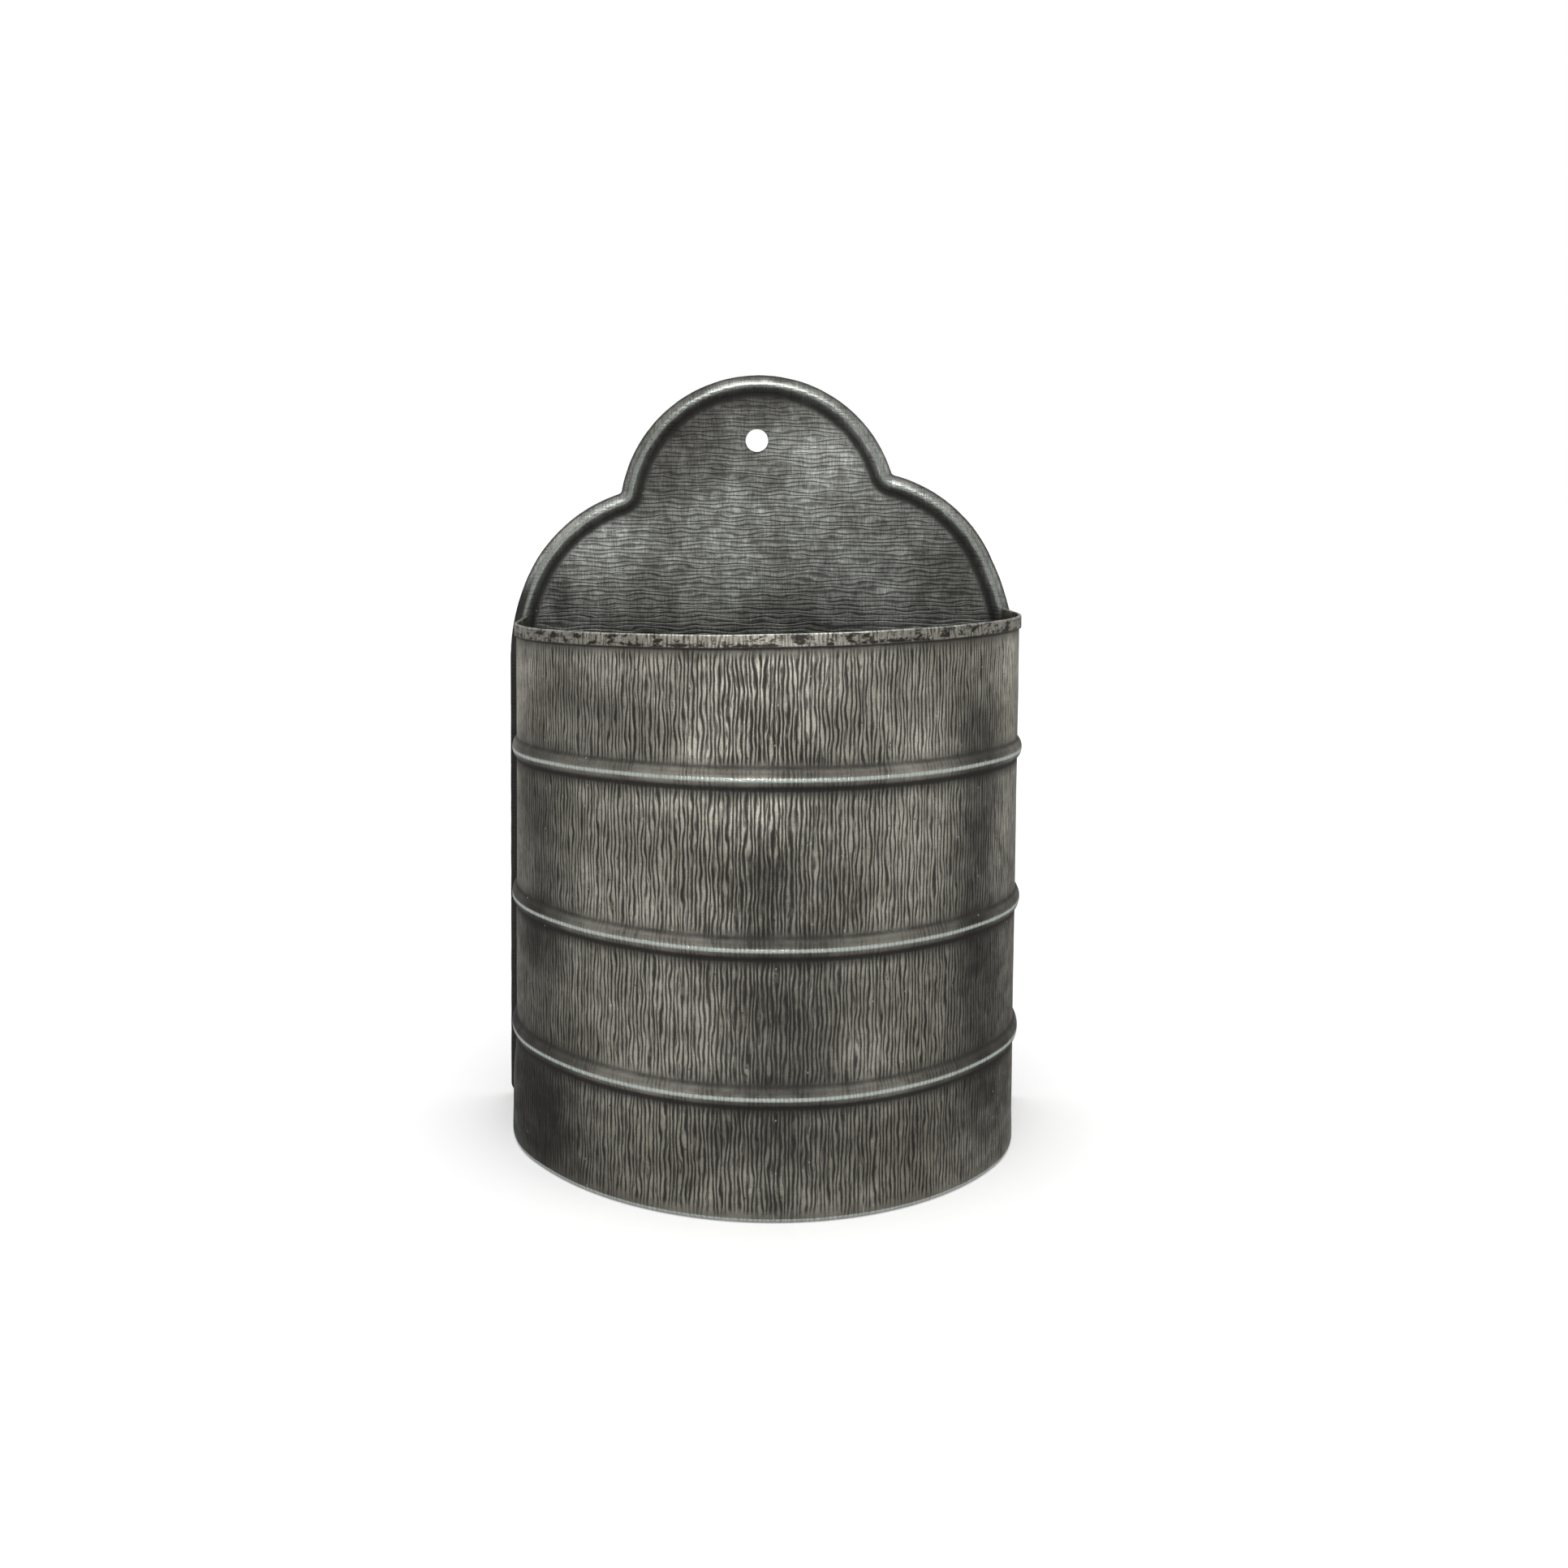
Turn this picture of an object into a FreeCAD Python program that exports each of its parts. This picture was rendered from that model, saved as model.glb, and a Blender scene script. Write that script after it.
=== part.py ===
import FreeCAD, Part
import math
import os

# Half-round wall planter of crinkled zinc sheet, in millimetres.
# +X is right, +Y points into the wall, +Z is up. The origin is the centre of the hanging hole
# on the back plate's rear face, so the wall lies in the plane Y = 0.

# ---- driving sizes -------------------------------------------------------------------------
SHEET = 0.6                  # gauge of all the sheet metal
FLOOR_DROP = 299.5           # from the hanging hole down to the surface it can stand on

PLATE_WIDTH = 230.0
PLATE_CENTRE_X = 4.0         # the hand-cut plate's middle lies a little right of the hole
PLATE_CORNER_RADIUS = 5.0
LOBE_RADIUS = 62.7
LOBE_CENTRE_X = 1.0
LOBE_CENTRE_DROP = 33.4      # lobe centre below the hanging hole
NOTCH_RADIUS = 2.0           # concave corner between the lobe and a shoulder
HOLE_RADIUS = 5.1

# Each shoulder is a compound curve: a slack arc that leaves the straight side, then a tighter
# arc up to the notch. The two sides differ, as the sheet is cut by hand.
LEFT_SHOULDER = {"start_drop": 98.9, "slack_radius": 92.0, "slack_sweep": 23.3, "tight_radius": 69.4}
RIGHT_SHOULDER = {"start_drop": 108.5, "slack_radius": 130.6, "slack_sweep": 26.4, "tight_radius": 67.6}

BORDER_INSET = 5.6           # plate edge to the middle of the raised border bead
BORDER_WIDTH = 5.2
BORDER_HEIGHT = 1.5
BORDER_TUCK = 7.0            # how far the bead reaches below the rim, before its round ends
BORDER_CLEARANCE = 0.15      # border bead to the notch in the shell's rear edge

SHELL_WIDTH = 214.6          # outside of the pocket at the plate
SHELL_DEPTH = 118.0          # wall plane to the outside of the pocket's front
SHELL_STRAIGHT = 31.3        # wall plane to where the sides start to curve
SHELL_SIDE_RADIUS = 66.0     # the tighter curve that leaves each straight side
RIM_DROP = 76.9              # hanging hole down to the rim, at the plate's middle
RIM_SLOPE = 0.0236           # the rim rises this much per millimetre towards the right

HEM_HEIGHT = 5.3             # the rim is folded outwards and down
HEM_GAP = 0.3
HEM_EDGE_RADIUS = 0.4

BEAD_HEIGHTS = (48.4, 104.8, 168.8)      # bead centres above the standing surface
BEAD_WIDTH = 9.0
BEAD_BULGE = 1.9

FOLD_WIDTH = 6.0             # the shell's lower edge is turned inwards
FOLD_RADIUS = 2.2            # outside radius of that bend
FLANGE_WIDTH = 8.0           # the shell's rear edges are turned inwards onto the plate
FLANGE_RELIEF = 13.0         # rim down to the top of a rear flange

PAN_RIM = 5.0                # height of the floor pan's turned-down edge
PAN_CLEARANCE = 0.15         # floor pan to the shell wall and the back plate
SOLDER_LEG = 1.8
SOLDER_CLEARANCE = 0.02      # solder to the curved wall

# ---- derived sizes -------------------------------------------------------------------------
FLOOR_Z = -FLOOR_DROP
PLATE_FRONT = -SHEET
SHELL_HALF = SHELL_WIDTH / 2
PAN_BOTTOM = FLOOR_Z + FOLD_RADIUS               # the pan's edge stops where the lower bend begins
PAN_TOP = PAN_BOTTOM + PAN_RIM
REACH = 400.0                                    # larger than the whole part, for cutting tools
CUT_MARGIN = 1.0
Y_AXIS = FreeCAD.Vector(0, 1, 0)
Z_AXIS = FreeCAD.Vector(0, 0, 1)


def rim_z(x):
    """Height of the sloping rim above the point x."""
    return -RIM_DROP + RIM_SLOPE * (x - PLATE_CENTRE_X)


def on_plate(x, z, y=0.0):
    return FreeCAD.Vector(x, y, z)


def fused(solids):
    """One clean solid from solids that share whole faces or overlap."""
    return solids[0].multiFuse(solids[1:]).removeSplitter()


def face_of(edges):
    return Part.Face(Part.Wire(Part.__sortEdges__(edges)))


def polygon_face(corners):
    return Part.Face(Part.makePolygon(corners + corners[:1]))


# ---- arcs of the back plate ----------------------------------------------------------------
# An arc is (centre, radius, start, end), in the wall plane, with angles in radians from +X to +Z.

def point_on(arc, angle):
    centre, radius = arc[0], arc[1]
    return on_plate(centre[0] + radius * math.cos(angle), centre[1] + radius * math.sin(angle))


def arc_edge(arc):
    start, end = arc[2], arc[3]
    return Part.Arc(*[point_on(arc, angle) for angle in (start, (start + end) / 2, end)]).toShape()


def direction(start, end):
    return math.atan2(end[1] - start[1], end[0] - start[0])


def mirrored(angle, side):
    """Angle counted from one side's own outward direction, as a true angle."""
    return angle if side > 0 else math.pi - angle


def near(angle, reference):
    """The same direction, written as the value closest to the reference angle."""
    turn = 2 * math.pi
    return angle + turn * round((reference - angle) / turn)


def shoulder(side, sizes):
    """Centres and angles of one shoulder; side is -1 on the left and +1 on the right."""
    edge_x = PLATE_CENTRE_X + side * PLATE_WIDTH / 2
    sweep = math.radians(sizes["slack_sweep"])
    slack, tight = sizes["slack_radius"], sizes["tight_radius"]
    slack_centre = (edge_x - side * slack, -sizes["start_drop"])
    tight_centre = (slack_centre[0] + side * (slack - tight) * math.cos(sweep),
                    slack_centre[1] + (slack - tight) * math.sin(sweep))
    lobe_centre = (LOBE_CENTRE_X, -LOBE_CENTRE_DROP)
    lobe_reach, shoulder_reach = LOBE_RADIUS + NOTCH_RADIUS, tight + NOTCH_RADIUS
    # The notch arc touches both circles from outside, above the line between their centres.
    across = (tight_centre[0] - lobe_centre[0], tight_centre[1] - lobe_centre[1])
    span = math.hypot(*across)
    unit = (across[0] / span, across[1] / span)
    along = (lobe_reach ** 2 - shoulder_reach ** 2 + span ** 2) / (2 * span)
    rise = side * math.sqrt(lobe_reach ** 2 - along ** 2)
    notch_centre = (lobe_centre[0] + along * unit[0] - rise * unit[1],
                    lobe_centre[1] + along * unit[1] + rise * unit[0])
    return {"side": side, "edge_x": edge_x, "sweep": sweep, "slack": slack, "tight": tight,
            "slack_centre": slack_centre, "tight_centre": tight_centre,
            "lobe_centre": lobe_centre, "notch_centre": notch_centre}


def shoulder_arcs(s, inset, start=0.0):
    """Slack arc, tight arc and notch arc of one shoulder, from the side up to the lobe."""
    side, notch = s["side"], s["notch_centre"]
    notch_angle = near(direction(s["tight_centre"], notch), math.pi / 2)
    at_shoulder = near(direction(notch, s["tight_centre"]), -math.pi / 2)
    at_lobe = near(direction(notch, s["lobe_centre"]), -math.pi / 2)
    bend = mirrored(s["sweep"], side)
    return [(s["slack_centre"], s["slack"] - inset, mirrored(start, side), bend),
            (s["tight_centre"], s["tight"] - inset, bend, notch_angle),
            (notch, NOTCH_RADIUS + inset, at_shoulder, at_lobe)]


def lobe_arc(left, right, inset):
    ends = [near(direction(s["lobe_centre"], s["notch_centre"]), math.pi / 2) for s in (left, right)]
    return (left["lobe_centre"], LOBE_RADIUS - inset, ends[0], ends[1])


def plate_face(left, right):
    """Outline of the back plate, filled."""
    radius = PLATE_CORNER_RADIUS
    arcs = shoulder_arcs(left, 0.0) + [lobe_arc(left, right, 0.0)] + shoulder_arcs(right, 0.0)
    edges = []
    for s in (left, right):
        corner = (s["edge_x"] - s["side"] * radius, FLOOR_Z + radius)
        arcs.append((corner, radius, mirrored(0.0, s["side"]), mirrored(-math.pi / 2, s["side"])))
        edges.append(Part.makeLine(on_plate(s["edge_x"], s["slack_centre"][1]),
                                   on_plate(s["edge_x"], corner[1])))
    edges.append(Part.makeLine(on_plate(left["edge_x"] + radius, FLOOR_Z),
                               on_plate(right["edge_x"] - radius, FLOOR_Z)))
    return face_of(edges + [arc_edge(arc) for arc in arcs])


# ---- border bead ---------------------------------------------------------------------------

def border_section(place, across, growth, hollow, half_only=False):
    """Filled cross-section of the border bead at a point of its path.

    The raised side is a circular arc on the plate's front face, larger all round by growth. The
    hollow side is the concentric arc one sheet thickness further back.
    """
    width, height = BORDER_WIDTH, BORDER_HEIGHT
    radius = (width ** 2 / 4 + height ** 2) / (2 * height)
    centre_y = PLATE_FRONT - height + radius
    radius += growth - (SHEET if hollow else 0.0)
    chord_y = 0.0 if hollow else PLATE_FRONT
    back_y = CUT_MARGIN if hollow else PLATE_FRONT / 2
    half = math.sqrt(radius ** 2 - (centre_y - chord_y) ** 2)

    def at(offset, y):
        return FreeCAD.Vector(place.x, y, place.z) + across * offset

    crown = at(0.0, centre_y - radius)
    if half_only:
        bow = math.asin(half / radius) / 2
        middle = at(radius * math.sin(bow), centre_y - radius * math.cos(bow))
        start, back = crown, at(0.0, back_y)
    else:
        middle = crown
        start, back = at(-half, chord_y), at(-half, back_y)
    edges = [Part.Arc(start, middle, at(half, chord_y)).toShape()]
    corners = [at(half, chord_y), at(half, back_y), back, start]
    edges += [Part.makeLine(a, b) for a, b in zip(corners, corners[1:])]
    return face_of(edges)


def border(left, right, growth=0.0, hollow=False):
    """The border bead along the plate's edge, its hollow, or its envelope, with round ends."""
    solids, arcs = [], [lobe_arc(left, right, BORDER_INSET)]
    for s in (left, right):
        end_z = rim_z(s["edge_x"]) - BORDER_TUCK
        start = math.asin((end_z - s["slack_centre"][1]) / (s["slack"] - BORDER_INSET))
        side_arcs = shoulder_arcs(s, BORDER_INSET, start)
        arcs += side_arcs
        end = point_on(side_arcs[0], side_arcs[0][2])
        outwards = (end - on_plate(*s["slack_centre"])).normalize()
        round_end = border_section(end, outwards, growth, hollow, half_only=True)
        solids.append(round_end.revolve(end, Y_AXIS, s["side"] * 180))
    for arc in arcs:
        place, centre = point_on(arc, arc[2]), on_plate(*arc[0])
        section = border_section(place, (place - centre).normalize(), growth, hollow)
        # Turning about +Y carries +X towards -Z, so the turn is the angle's opposite.
        solids.append(section.revolve(centre, Y_AXIS, -math.degrees(arc[3] - arc[2])))
    return fused(solids)


def back_plate(left, right):
    sheet = plate_face(left, right).extrude(-Y_AXIS * SHEET)
    hole = Part.makeCylinder(HOLE_RADIUS, 2 * CUT_MARGIN + SHEET,
                             on_plate(0, 0, PLATE_FRONT - CUT_MARGIN), Y_AXIS)
    return sheet.fuse(border(left, right)).cut(border(left, right, hollow=True)).cut(hole).removeSplitter()


# ---- plan of the pocket --------------------------------------------------------------------

def plan_arcs():
    """Left side, front and right side arcs of the pocket's outside, as (centre, radius, start, end).

    Angles are in degrees from +X towards +Y. The front arc touches both side arcs.
    """
    half, side_radius = SHELL_HALF, SHELL_SIDE_RADIUS
    nose = SHELL_DEPTH - SHELL_STRAIGHT
    front_radius = (half ** 2 + nose ** 2 - 2 * half * side_radius) / (2 * (nose - side_radius))
    front_centre = FreeCAD.Vector(PLATE_CENTRE_X, front_radius - SHELL_DEPTH, 0)
    side_reach = half - side_radius
    bend = math.degrees(math.atan2(front_centre.y + SHELL_STRAIGHT, side_reach))
    left_centre = FreeCAD.Vector(PLATE_CENTRE_X - side_reach, -SHELL_STRAIGHT, 0)
    right_centre = FreeCAD.Vector(PLATE_CENTRE_X + side_reach, -SHELL_STRAIGHT, 0)
    return [(left_centre, side_radius, 180, 180 + bend),
            (front_centre, front_radius, 180 + bend, 360 - bend),
            (right_centre, side_radius, 360 - bend, 360)]


def plan_face(offset, z, rear_y):
    """The pocket's plan, filled, offset outwards."""
    edges = []
    for centre, radius, start, end in plan_arcs():
        points = []
        for angle in (start, (start + end) / 2, end):
            turn = math.radians(angle)
            reach = FreeCAD.Vector(math.cos(turn), math.sin(turn), 0) * (radius + offset)
            points.append(centre + reach + Z_AXIS * z)
        edges.append(Part.Arc(*points).toShape())
    half = SHELL_HALF + offset
    rear = [FreeCAD.Vector(PLATE_CENTRE_X + sign * half, rear_y, z) for sign in (-1, 1)]
    front = [FreeCAD.Vector(corner.x, -SHELL_STRAIGHT, z) for corner in rear]
    edges += [Part.makeLine(rear[0], front[0]), Part.makeLine(rear[1], front[1]), Part.makeLine(*rear)]
    return face_of(edges)


def plan_block(offset, bottom, top, rear_y=PLATE_FRONT):
    return plan_face(offset, bottom, rear_y).extrude(Z_AXIS * (top - bottom))


def rim_slab(low, high):
    """The space between two planes parallel to the rim, given as heights above the rim."""
    corners = [FreeCAD.Vector(-REACH, 0, rim_z(-REACH) + low), FreeCAD.Vector(REACH, 0, rim_z(REACH) + low),
               FreeCAD.Vector(REACH, 0, rim_z(REACH) + high), FreeCAD.Vector(-REACH, 0, rim_z(-REACH) + high)]
    return polygon_face(corners).extrude(-Y_AXIS * REACH)


# ---- front shell ---------------------------------------------------------------------------

def wall_section():
    """Filled profile of the shell wall at its rear left end: lower fold, wall and beads."""
    outer_radius = (BEAD_WIDTH ** 2 / 4 + BEAD_BULGE ** 2) / (2 * BEAD_BULGE)
    inner_radius = outer_radius - SHEET
    inner_half = math.sqrt(inner_radius ** 2 - (BEAD_BULGE - outer_radius + SHEET) ** 2)
    top = rim_z(PLATE_CENTRE_X + SHELL_HALF) + CUT_MARGIN
    bend_z = FLOOR_Z + FOLD_RADIUS

    def at(outwards, z):
        return FreeCAD.Vector(PLATE_CENTRE_X - SHELL_HALF - outwards, PLATE_FRONT, z)

    def wall_side(out, half, bulge):
        """One side of the wall's thickness, from the lower bend over the beads to the top."""
        edges, z = [], bend_z
        for height in BEAD_HEIGHTS:
            centre = FLOOR_Z + height
            low, high = at(out, centre - half), at(out, centre + half)
            edges.append(Part.makeLine(at(out, z), low))
            edges.append(Part.Arc(low, at(bulge, centre), high).toShape())
            z = centre + half
        edges.append(Part.makeLine(at(out, z), at(out, top)))
        return edges

    def bend(out):
        """Quarter bend from the wall into the lower fold."""
        radius = FOLD_RADIUS + out
        step = FOLD_RADIUS - radius * math.sqrt(0.5)
        return Part.Arc(at(-FOLD_RADIUS, FLOOR_Z - out), at(-step, FLOOR_Z + step), at(out, bend_z)).toShape()

    edges = wall_side(0.0, BEAD_WIDTH / 2, BEAD_BULGE) + wall_side(-SHEET, inner_half, BEAD_BULGE - SHEET)
    edges += [bend(0.0), bend(-SHEET)]
    for z in (FLOOR_Z, FLOOR_Z + SHEET):
        edges.append(Part.makeLine(at(-FOLD_RADIUS, z), at(-FOLD_WIDTH, z)))
    edges.append(Part.makeLine(at(-FOLD_WIDTH, FLOOR_Z), at(-FOLD_WIDTH, FLOOR_Z + SHEET)))
    edges.append(Part.makeLine(at(0.0, top), at(-SHEET, top)))
    return face_of(edges)


def wall():
    """The wall profile carried along the plan: straight side, three arcs, straight side."""
    section = wall_section()
    straight = -Y_AXIS * (SHELL_STRAIGHT + PLATE_FRONT)
    solids = [section.extrude(straight)]
    section.translate(straight)
    for centre, _, start, end in plan_arcs():
        solids.append(section.revolve(centre, Z_AXIS, end - start))
        section.rotate(centre, Z_AXIS, end - start)
    solids.append(section.extrude(-straight))
    return fused(solids)


def hem():
    """The rim's outward fold: a leaf outside the wall, joined to it along the top."""
    reach = HEM_GAP + SHEET
    low, high = rim_z(-REACH) - HEM_HEIGHT, rim_z(REACH)
    block = plan_block(reach, low, high).common(rim_slab(-HEM_HEIGHT, 0.0))
    top_edges = []
    for edge in block.Edges:
        ends = [vertex.Point for vertex in edge.Vertexes]
        on_top = all(abs(p.z - rim_z(p.x)) < SHEET / 4 for p in ends)
        at_rear = all(abs(p.y - PLATE_FRONT) < SHEET / 4 for p in ends)
        if on_top and not at_rear:
            top_edges.append(edge)
    block = block.makeFillet(HEM_EDGE_RADIUS, top_edges)
    gap = plan_block(HEM_GAP, low, high).common(rim_slab(-2 * HEM_HEIGHT, -SHEET))
    pocket = plan_block(-SHEET / 2, low, high)
    return block.cut(gap).cut(pocket)


def rear_flange(side):
    """Strip bent inwards from the wall, lying flat on the plate's front face."""
    outer_x = PLATE_CENTRE_X + side * (SHELL_HALF - SHEET / 2)
    inner_x = PLATE_CENTRE_X + side * (SHELL_HALF - SHEET - FLANGE_WIDTH)
    corner = FreeCAD.Vector(min(outer_x, inner_x), PLATE_FRONT - SHEET, PAN_TOP)
    return Part.makeBox(abs(outer_x - inner_x), SHEET, flange_top(side) - PAN_TOP, corner)


def flange_top(side):
    return rim_z(PLATE_CENTRE_X + side * SHELL_HALF) - FLANGE_RELIEF


def front_shell(left, right):
    shell = wall().cut(rim_slab(0.0, REACH))
    shell = fused([shell, hem(), rear_flange(-1), rear_flange(1)])
    return shell.cut(border(left, right, growth=BORDER_CLEARANCE))


# ---- floor and solder ----------------------------------------------------------------------

def floor_pan():
    """Raised floor whose edge is turned down inside the shell, just above its lower bend."""
    rear = PLATE_FRONT - PAN_CLEARANCE
    outside = plan_block(-SHEET - PAN_CLEARANCE, PAN_BOTTOM, PAN_TOP, rear)
    inside = plan_block(-2 * SHEET - PAN_CLEARANCE, PAN_BOTTOM - CUT_MARGIN, PAN_TOP - SHEET, rear - SHEET)
    return outside.cut(inside)


def solder_strip(side):
    """Upright solder fillet between a rear flange's edge and the plate."""
    foot = FreeCAD.Vector(PLATE_CENTRE_X + side * (SHELL_HALF - SHEET - FLANGE_WIDTH), PLATE_FRONT,
                          PAN_TOP + SOLDER_LEG)
    face = polygon_face([foot, foot - FreeCAD.Vector(side * SOLDER_LEG, 0, 0), foot - Y_AXIS * SHEET])
    return face.extrude(Z_AXIS * (flange_top(side) - foot.z))


def solder_round():
    """Solder fillet between the floor pan and the shell's curved wall."""
    outer, rear = -SHEET - SOLDER_CLEARANCE, PLATE_FRONT - SHEET - SOLDER_CLEARANCE
    block = plan_block(outer, PAN_TOP, PAN_TOP + SOLDER_LEG, rear)
    pocket = plan_block(outer - SOLDER_LEG, PAN_TOP, PAN_TOP + SOLDER_LEG, rear)
    return block.cut(pocket)


def solder_back():
    """Solder fillet between the floor pan and the back plate, from flange to flange."""
    half = SHELL_HALF - SHEET - FLANGE_WIDTH
    foot = FreeCAD.Vector(PLATE_CENTRE_X - half, PLATE_FRONT, PAN_TOP)
    face = polygon_face([foot, foot - Y_AXIS * SOLDER_LEG, foot + Z_AXIS * SOLDER_LEG])
    return face.extrude(FreeCAD.Vector(2 * half, 0, 0))


def main():
    os.makedirs("parts", exist_ok=True)
    left, right = shoulder(-1, LEFT_SHOULDER), shoulder(1, RIGHT_SHOULDER)
    nodes = {
        "back_plate": back_plate(left, right),
        "front_shell": front_shell(left, right),
        "floor_pan": floor_pan(),
        "solder_left": solder_strip(-1),
        "solder_right": solder_strip(1),
        "solder_round": solder_round(),
        "solder_back": solder_back(),
    }
    for name, shape in nodes.items():
        box = shape.BoundBox
        print(name, "solids", len(shape.Solids), "valid", shape.isValid(),
              "volume", round(shape.Volume, 1), "x", round(box.XMin, 2), round(box.XMax, 2),
              "y", round(box.YMin, 2), round(box.YMax, 2), "z", round(box.ZMin, 2), round(box.ZMax, 2))
        shape.exportStep("parts/" + name + ".step")


main()
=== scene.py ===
# %% [markdown]
# # A half-round wall planter in crinkled zinc
# The real planter is three sheets of antique zinc: a tall back plate with a round lobe, a front
# shell bent into a half-round pocket, and a small floor, soft-soldered together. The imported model
# is the frame: it gives the places and the outside box, and nothing here may leave that box.

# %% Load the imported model
import math

import bmesh
import bpy
import numpy as np
from mathutils import Matrix, Vector, noise
from mathutils.geometry import delaunay_2d_cdt


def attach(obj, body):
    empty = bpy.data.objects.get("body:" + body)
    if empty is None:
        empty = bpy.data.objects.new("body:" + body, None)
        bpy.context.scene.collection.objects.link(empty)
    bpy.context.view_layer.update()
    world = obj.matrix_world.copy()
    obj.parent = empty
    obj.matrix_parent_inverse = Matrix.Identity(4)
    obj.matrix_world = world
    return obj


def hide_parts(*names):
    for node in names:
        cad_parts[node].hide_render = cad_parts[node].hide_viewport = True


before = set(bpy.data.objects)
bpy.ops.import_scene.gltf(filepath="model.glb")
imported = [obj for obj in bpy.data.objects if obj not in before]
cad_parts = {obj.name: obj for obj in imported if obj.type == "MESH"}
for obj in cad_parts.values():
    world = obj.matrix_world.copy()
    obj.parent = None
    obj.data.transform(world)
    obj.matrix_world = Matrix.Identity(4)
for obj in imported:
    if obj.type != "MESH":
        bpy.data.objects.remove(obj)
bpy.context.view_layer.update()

print("nodes:", sorted(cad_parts))

# %% [markdown]
# ## Camera first
# The photograph was taken from just above the hanging hole, looking almost level, and its frame
# was then moved down to hold the whole planter. A level camera with a downward shift does the
# same, and keeps the plate's sides parallel as they are in the photograph. A tilted camera
# without shift would make them lean. The numbers come from a fit of the outline, rim and beads.

# %% Camera
camera_data = bpy.data.cameras.new("camera")
camera_data.sensor_width = 36.0
camera_data.lens = 31.944
camera_data.shift_x = 0.0419
camera_data.shift_y = -0.1273
camera = bpy.data.objects.new("camera", camera_data)
bpy.context.scene.collection.objects.link(camera)
camera_place = (-0.01641, -0.6281, -0.03304)
camera_axes = Matrix(((0.99998, -0.0057, 0.00092),
                      (0.00121, 0.05053, -0.99872),
                      (0.00565, 0.99871, 0.05053)))
camera.matrix_world = Matrix.Translation(camera_place) @ camera_axes.to_4x4()
bpy.context.scene.camera = camera
print("camera height above the floor:", round(camera.location.z, 3))

# %% [markdown]
# ## Sizes
# The sheet pieces are rebuilt as fine meshes, so the sizes of the solids come back here in
# millimetres. The origin is the centre of the hanging hole on the wall, +X is right and the
# pocket stands out towards -Y.

# %% Sizes in millimetres
MM = 0.001
SHEET = 0.6
BASE_Z = -299.5
PLATE_FRONT = -SHEET
CENTRE_X = 4.0
PLATE_HALF = 115.0
PLATE_CORNER = 5.0
LOBE_CENTRE = (1.0, -33.4)
LOBE_RADIUS = 62.7
NOTCH_RADIUS = 2.0
HOLE_RADIUS = 5.1
SHOULDERS = {-1: {"start": 98.9, "slack": 92.0, "sweep": 23.3, "tight": 69.4},
             1: {"start": 108.5, "slack": 130.6, "sweep": 26.4, "tight": 67.6}}
SIDE_TOP_Z = -98.9
BORDER_INSET = 5.1
BORDER_HALF_WIDTH = 3.3
BORDER_HEIGHT = 1.5
BORDER_TUCK = 7.0

SHELL_HALF = 107.3
SHELL_DEPTH = 118.0
SHELL_STRAIGHT = 31.3
SIDE_RADIUS = 66.0
RIM_HEIGHT = 222.6
RIM_SLOPE = 0.0236
HEM_HEIGHT = 5.3
HEM_EDGE = RIM_HEIGHT - HEM_HEIGHT
HEM_GAP = 0.3
BEADS = (48.4, 104.8, 168.8)
BEAD_LIFTS = {-1: (0.55, 0.6, -1.35), 1: (1.75, 1.0, 0.7)}
BEAD_BULGE = 1.88
BEAD_HALF_WIDTH = 4.8
BEAD_ROOT = 1.4
CORNER_FLARE = 1.5
FOLD_WIDTH = 6.0
FOLD_RADIUS = 2.2
FLANGE_WIDTH = 8.0
FLANGE_RELIEF = 13.0
PAN_BOTTOM = 2.2
PAN_TOP = 7.2
PAN_CLEARANCE = 0.15
SOLDER_LEG = 1.8


def rim_z(x):
    return BASE_Z + RIM_HEIGHT + RIM_SLOPE * (x - CENTRE_X)


print("rim at the sides:", rim_z(CENTRE_X - SHELL_HALF), rim_z(CENTRE_X + SHELL_HALF))

# %% [markdown]
# ## Helpers for sheet metal
# Handmade sheet is never quite true, so every large surface gets a slow, shallow unevenness. It
# comes from a noise function that depends on the place alone, so the mesh is the
# same in each run. Masks such as "crest" or "hollow" are stored on the points, and the materials
# read them later to rub the high places bright with a painted highlight on them, and to leave dirt
# and painted shade in the low ones.

# %% Mesh helpers
FAR = 99.0


def unevenness(points, size, seed=0.0):
    """Slow noise between about -1 and 1 at each point; size is in millimetres."""
    shift = Vector((seed * 17.3, seed * 5.1, seed * 29.7))
    return np.array([noise.noise(Vector(p) / size + shift) for p in points])


def smooth_step(value, low, high):
    t = np.clip((np.asarray(value, float) - low) / (high - low), 0.0, 1.0)
    return t * t * (3 - 2 * t)


def soft_spot(value, centre, width):
    """1 at the centre, and a little over a third at the given distance from it."""
    return np.exp(-((value - centre) / width) ** 2)


def bands(rows):
    """Quads between closed rows of point numbers, all of one length."""
    return [(a[k], a[(k + 1) % len(a)], b[(k + 1) % len(a)], b[k])
            for a, b in zip(rows, rows[1:]) for k in range(len(a))]


def tube_faces(rows, ring):
    """Quads of a closed section of ring points, repeated over rows, with both ends closed."""
    loops = [range(row * ring, (row + 1) * ring) for row in range(rows)]
    return bands(loops) + [tuple(loops[0]), tuple(loops[-1])]


def inside_loop(points, loop):
    """Even-odd test of many points against one closed outline."""
    inside = np.zeros(len(points), bool)
    for (x1, z1), (x2, z2) in zip(loop, np.roll(loop, -1, axis=0)):
        crosses = (z1 > points[:, 1]) != (z2 > points[:, 1])
        if crosses.any():
            at = x1 + (points[:, 1] - z1) * (x2 - x1) / (z2 - z1 if z2 != z1 else 1.0)
            inside ^= crosses & (points[:, 0] < at)
    return inside


def closed_edges(first, count):
    return [(first + k, first + (k + 1) % count) for k in range(count)]


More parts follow.
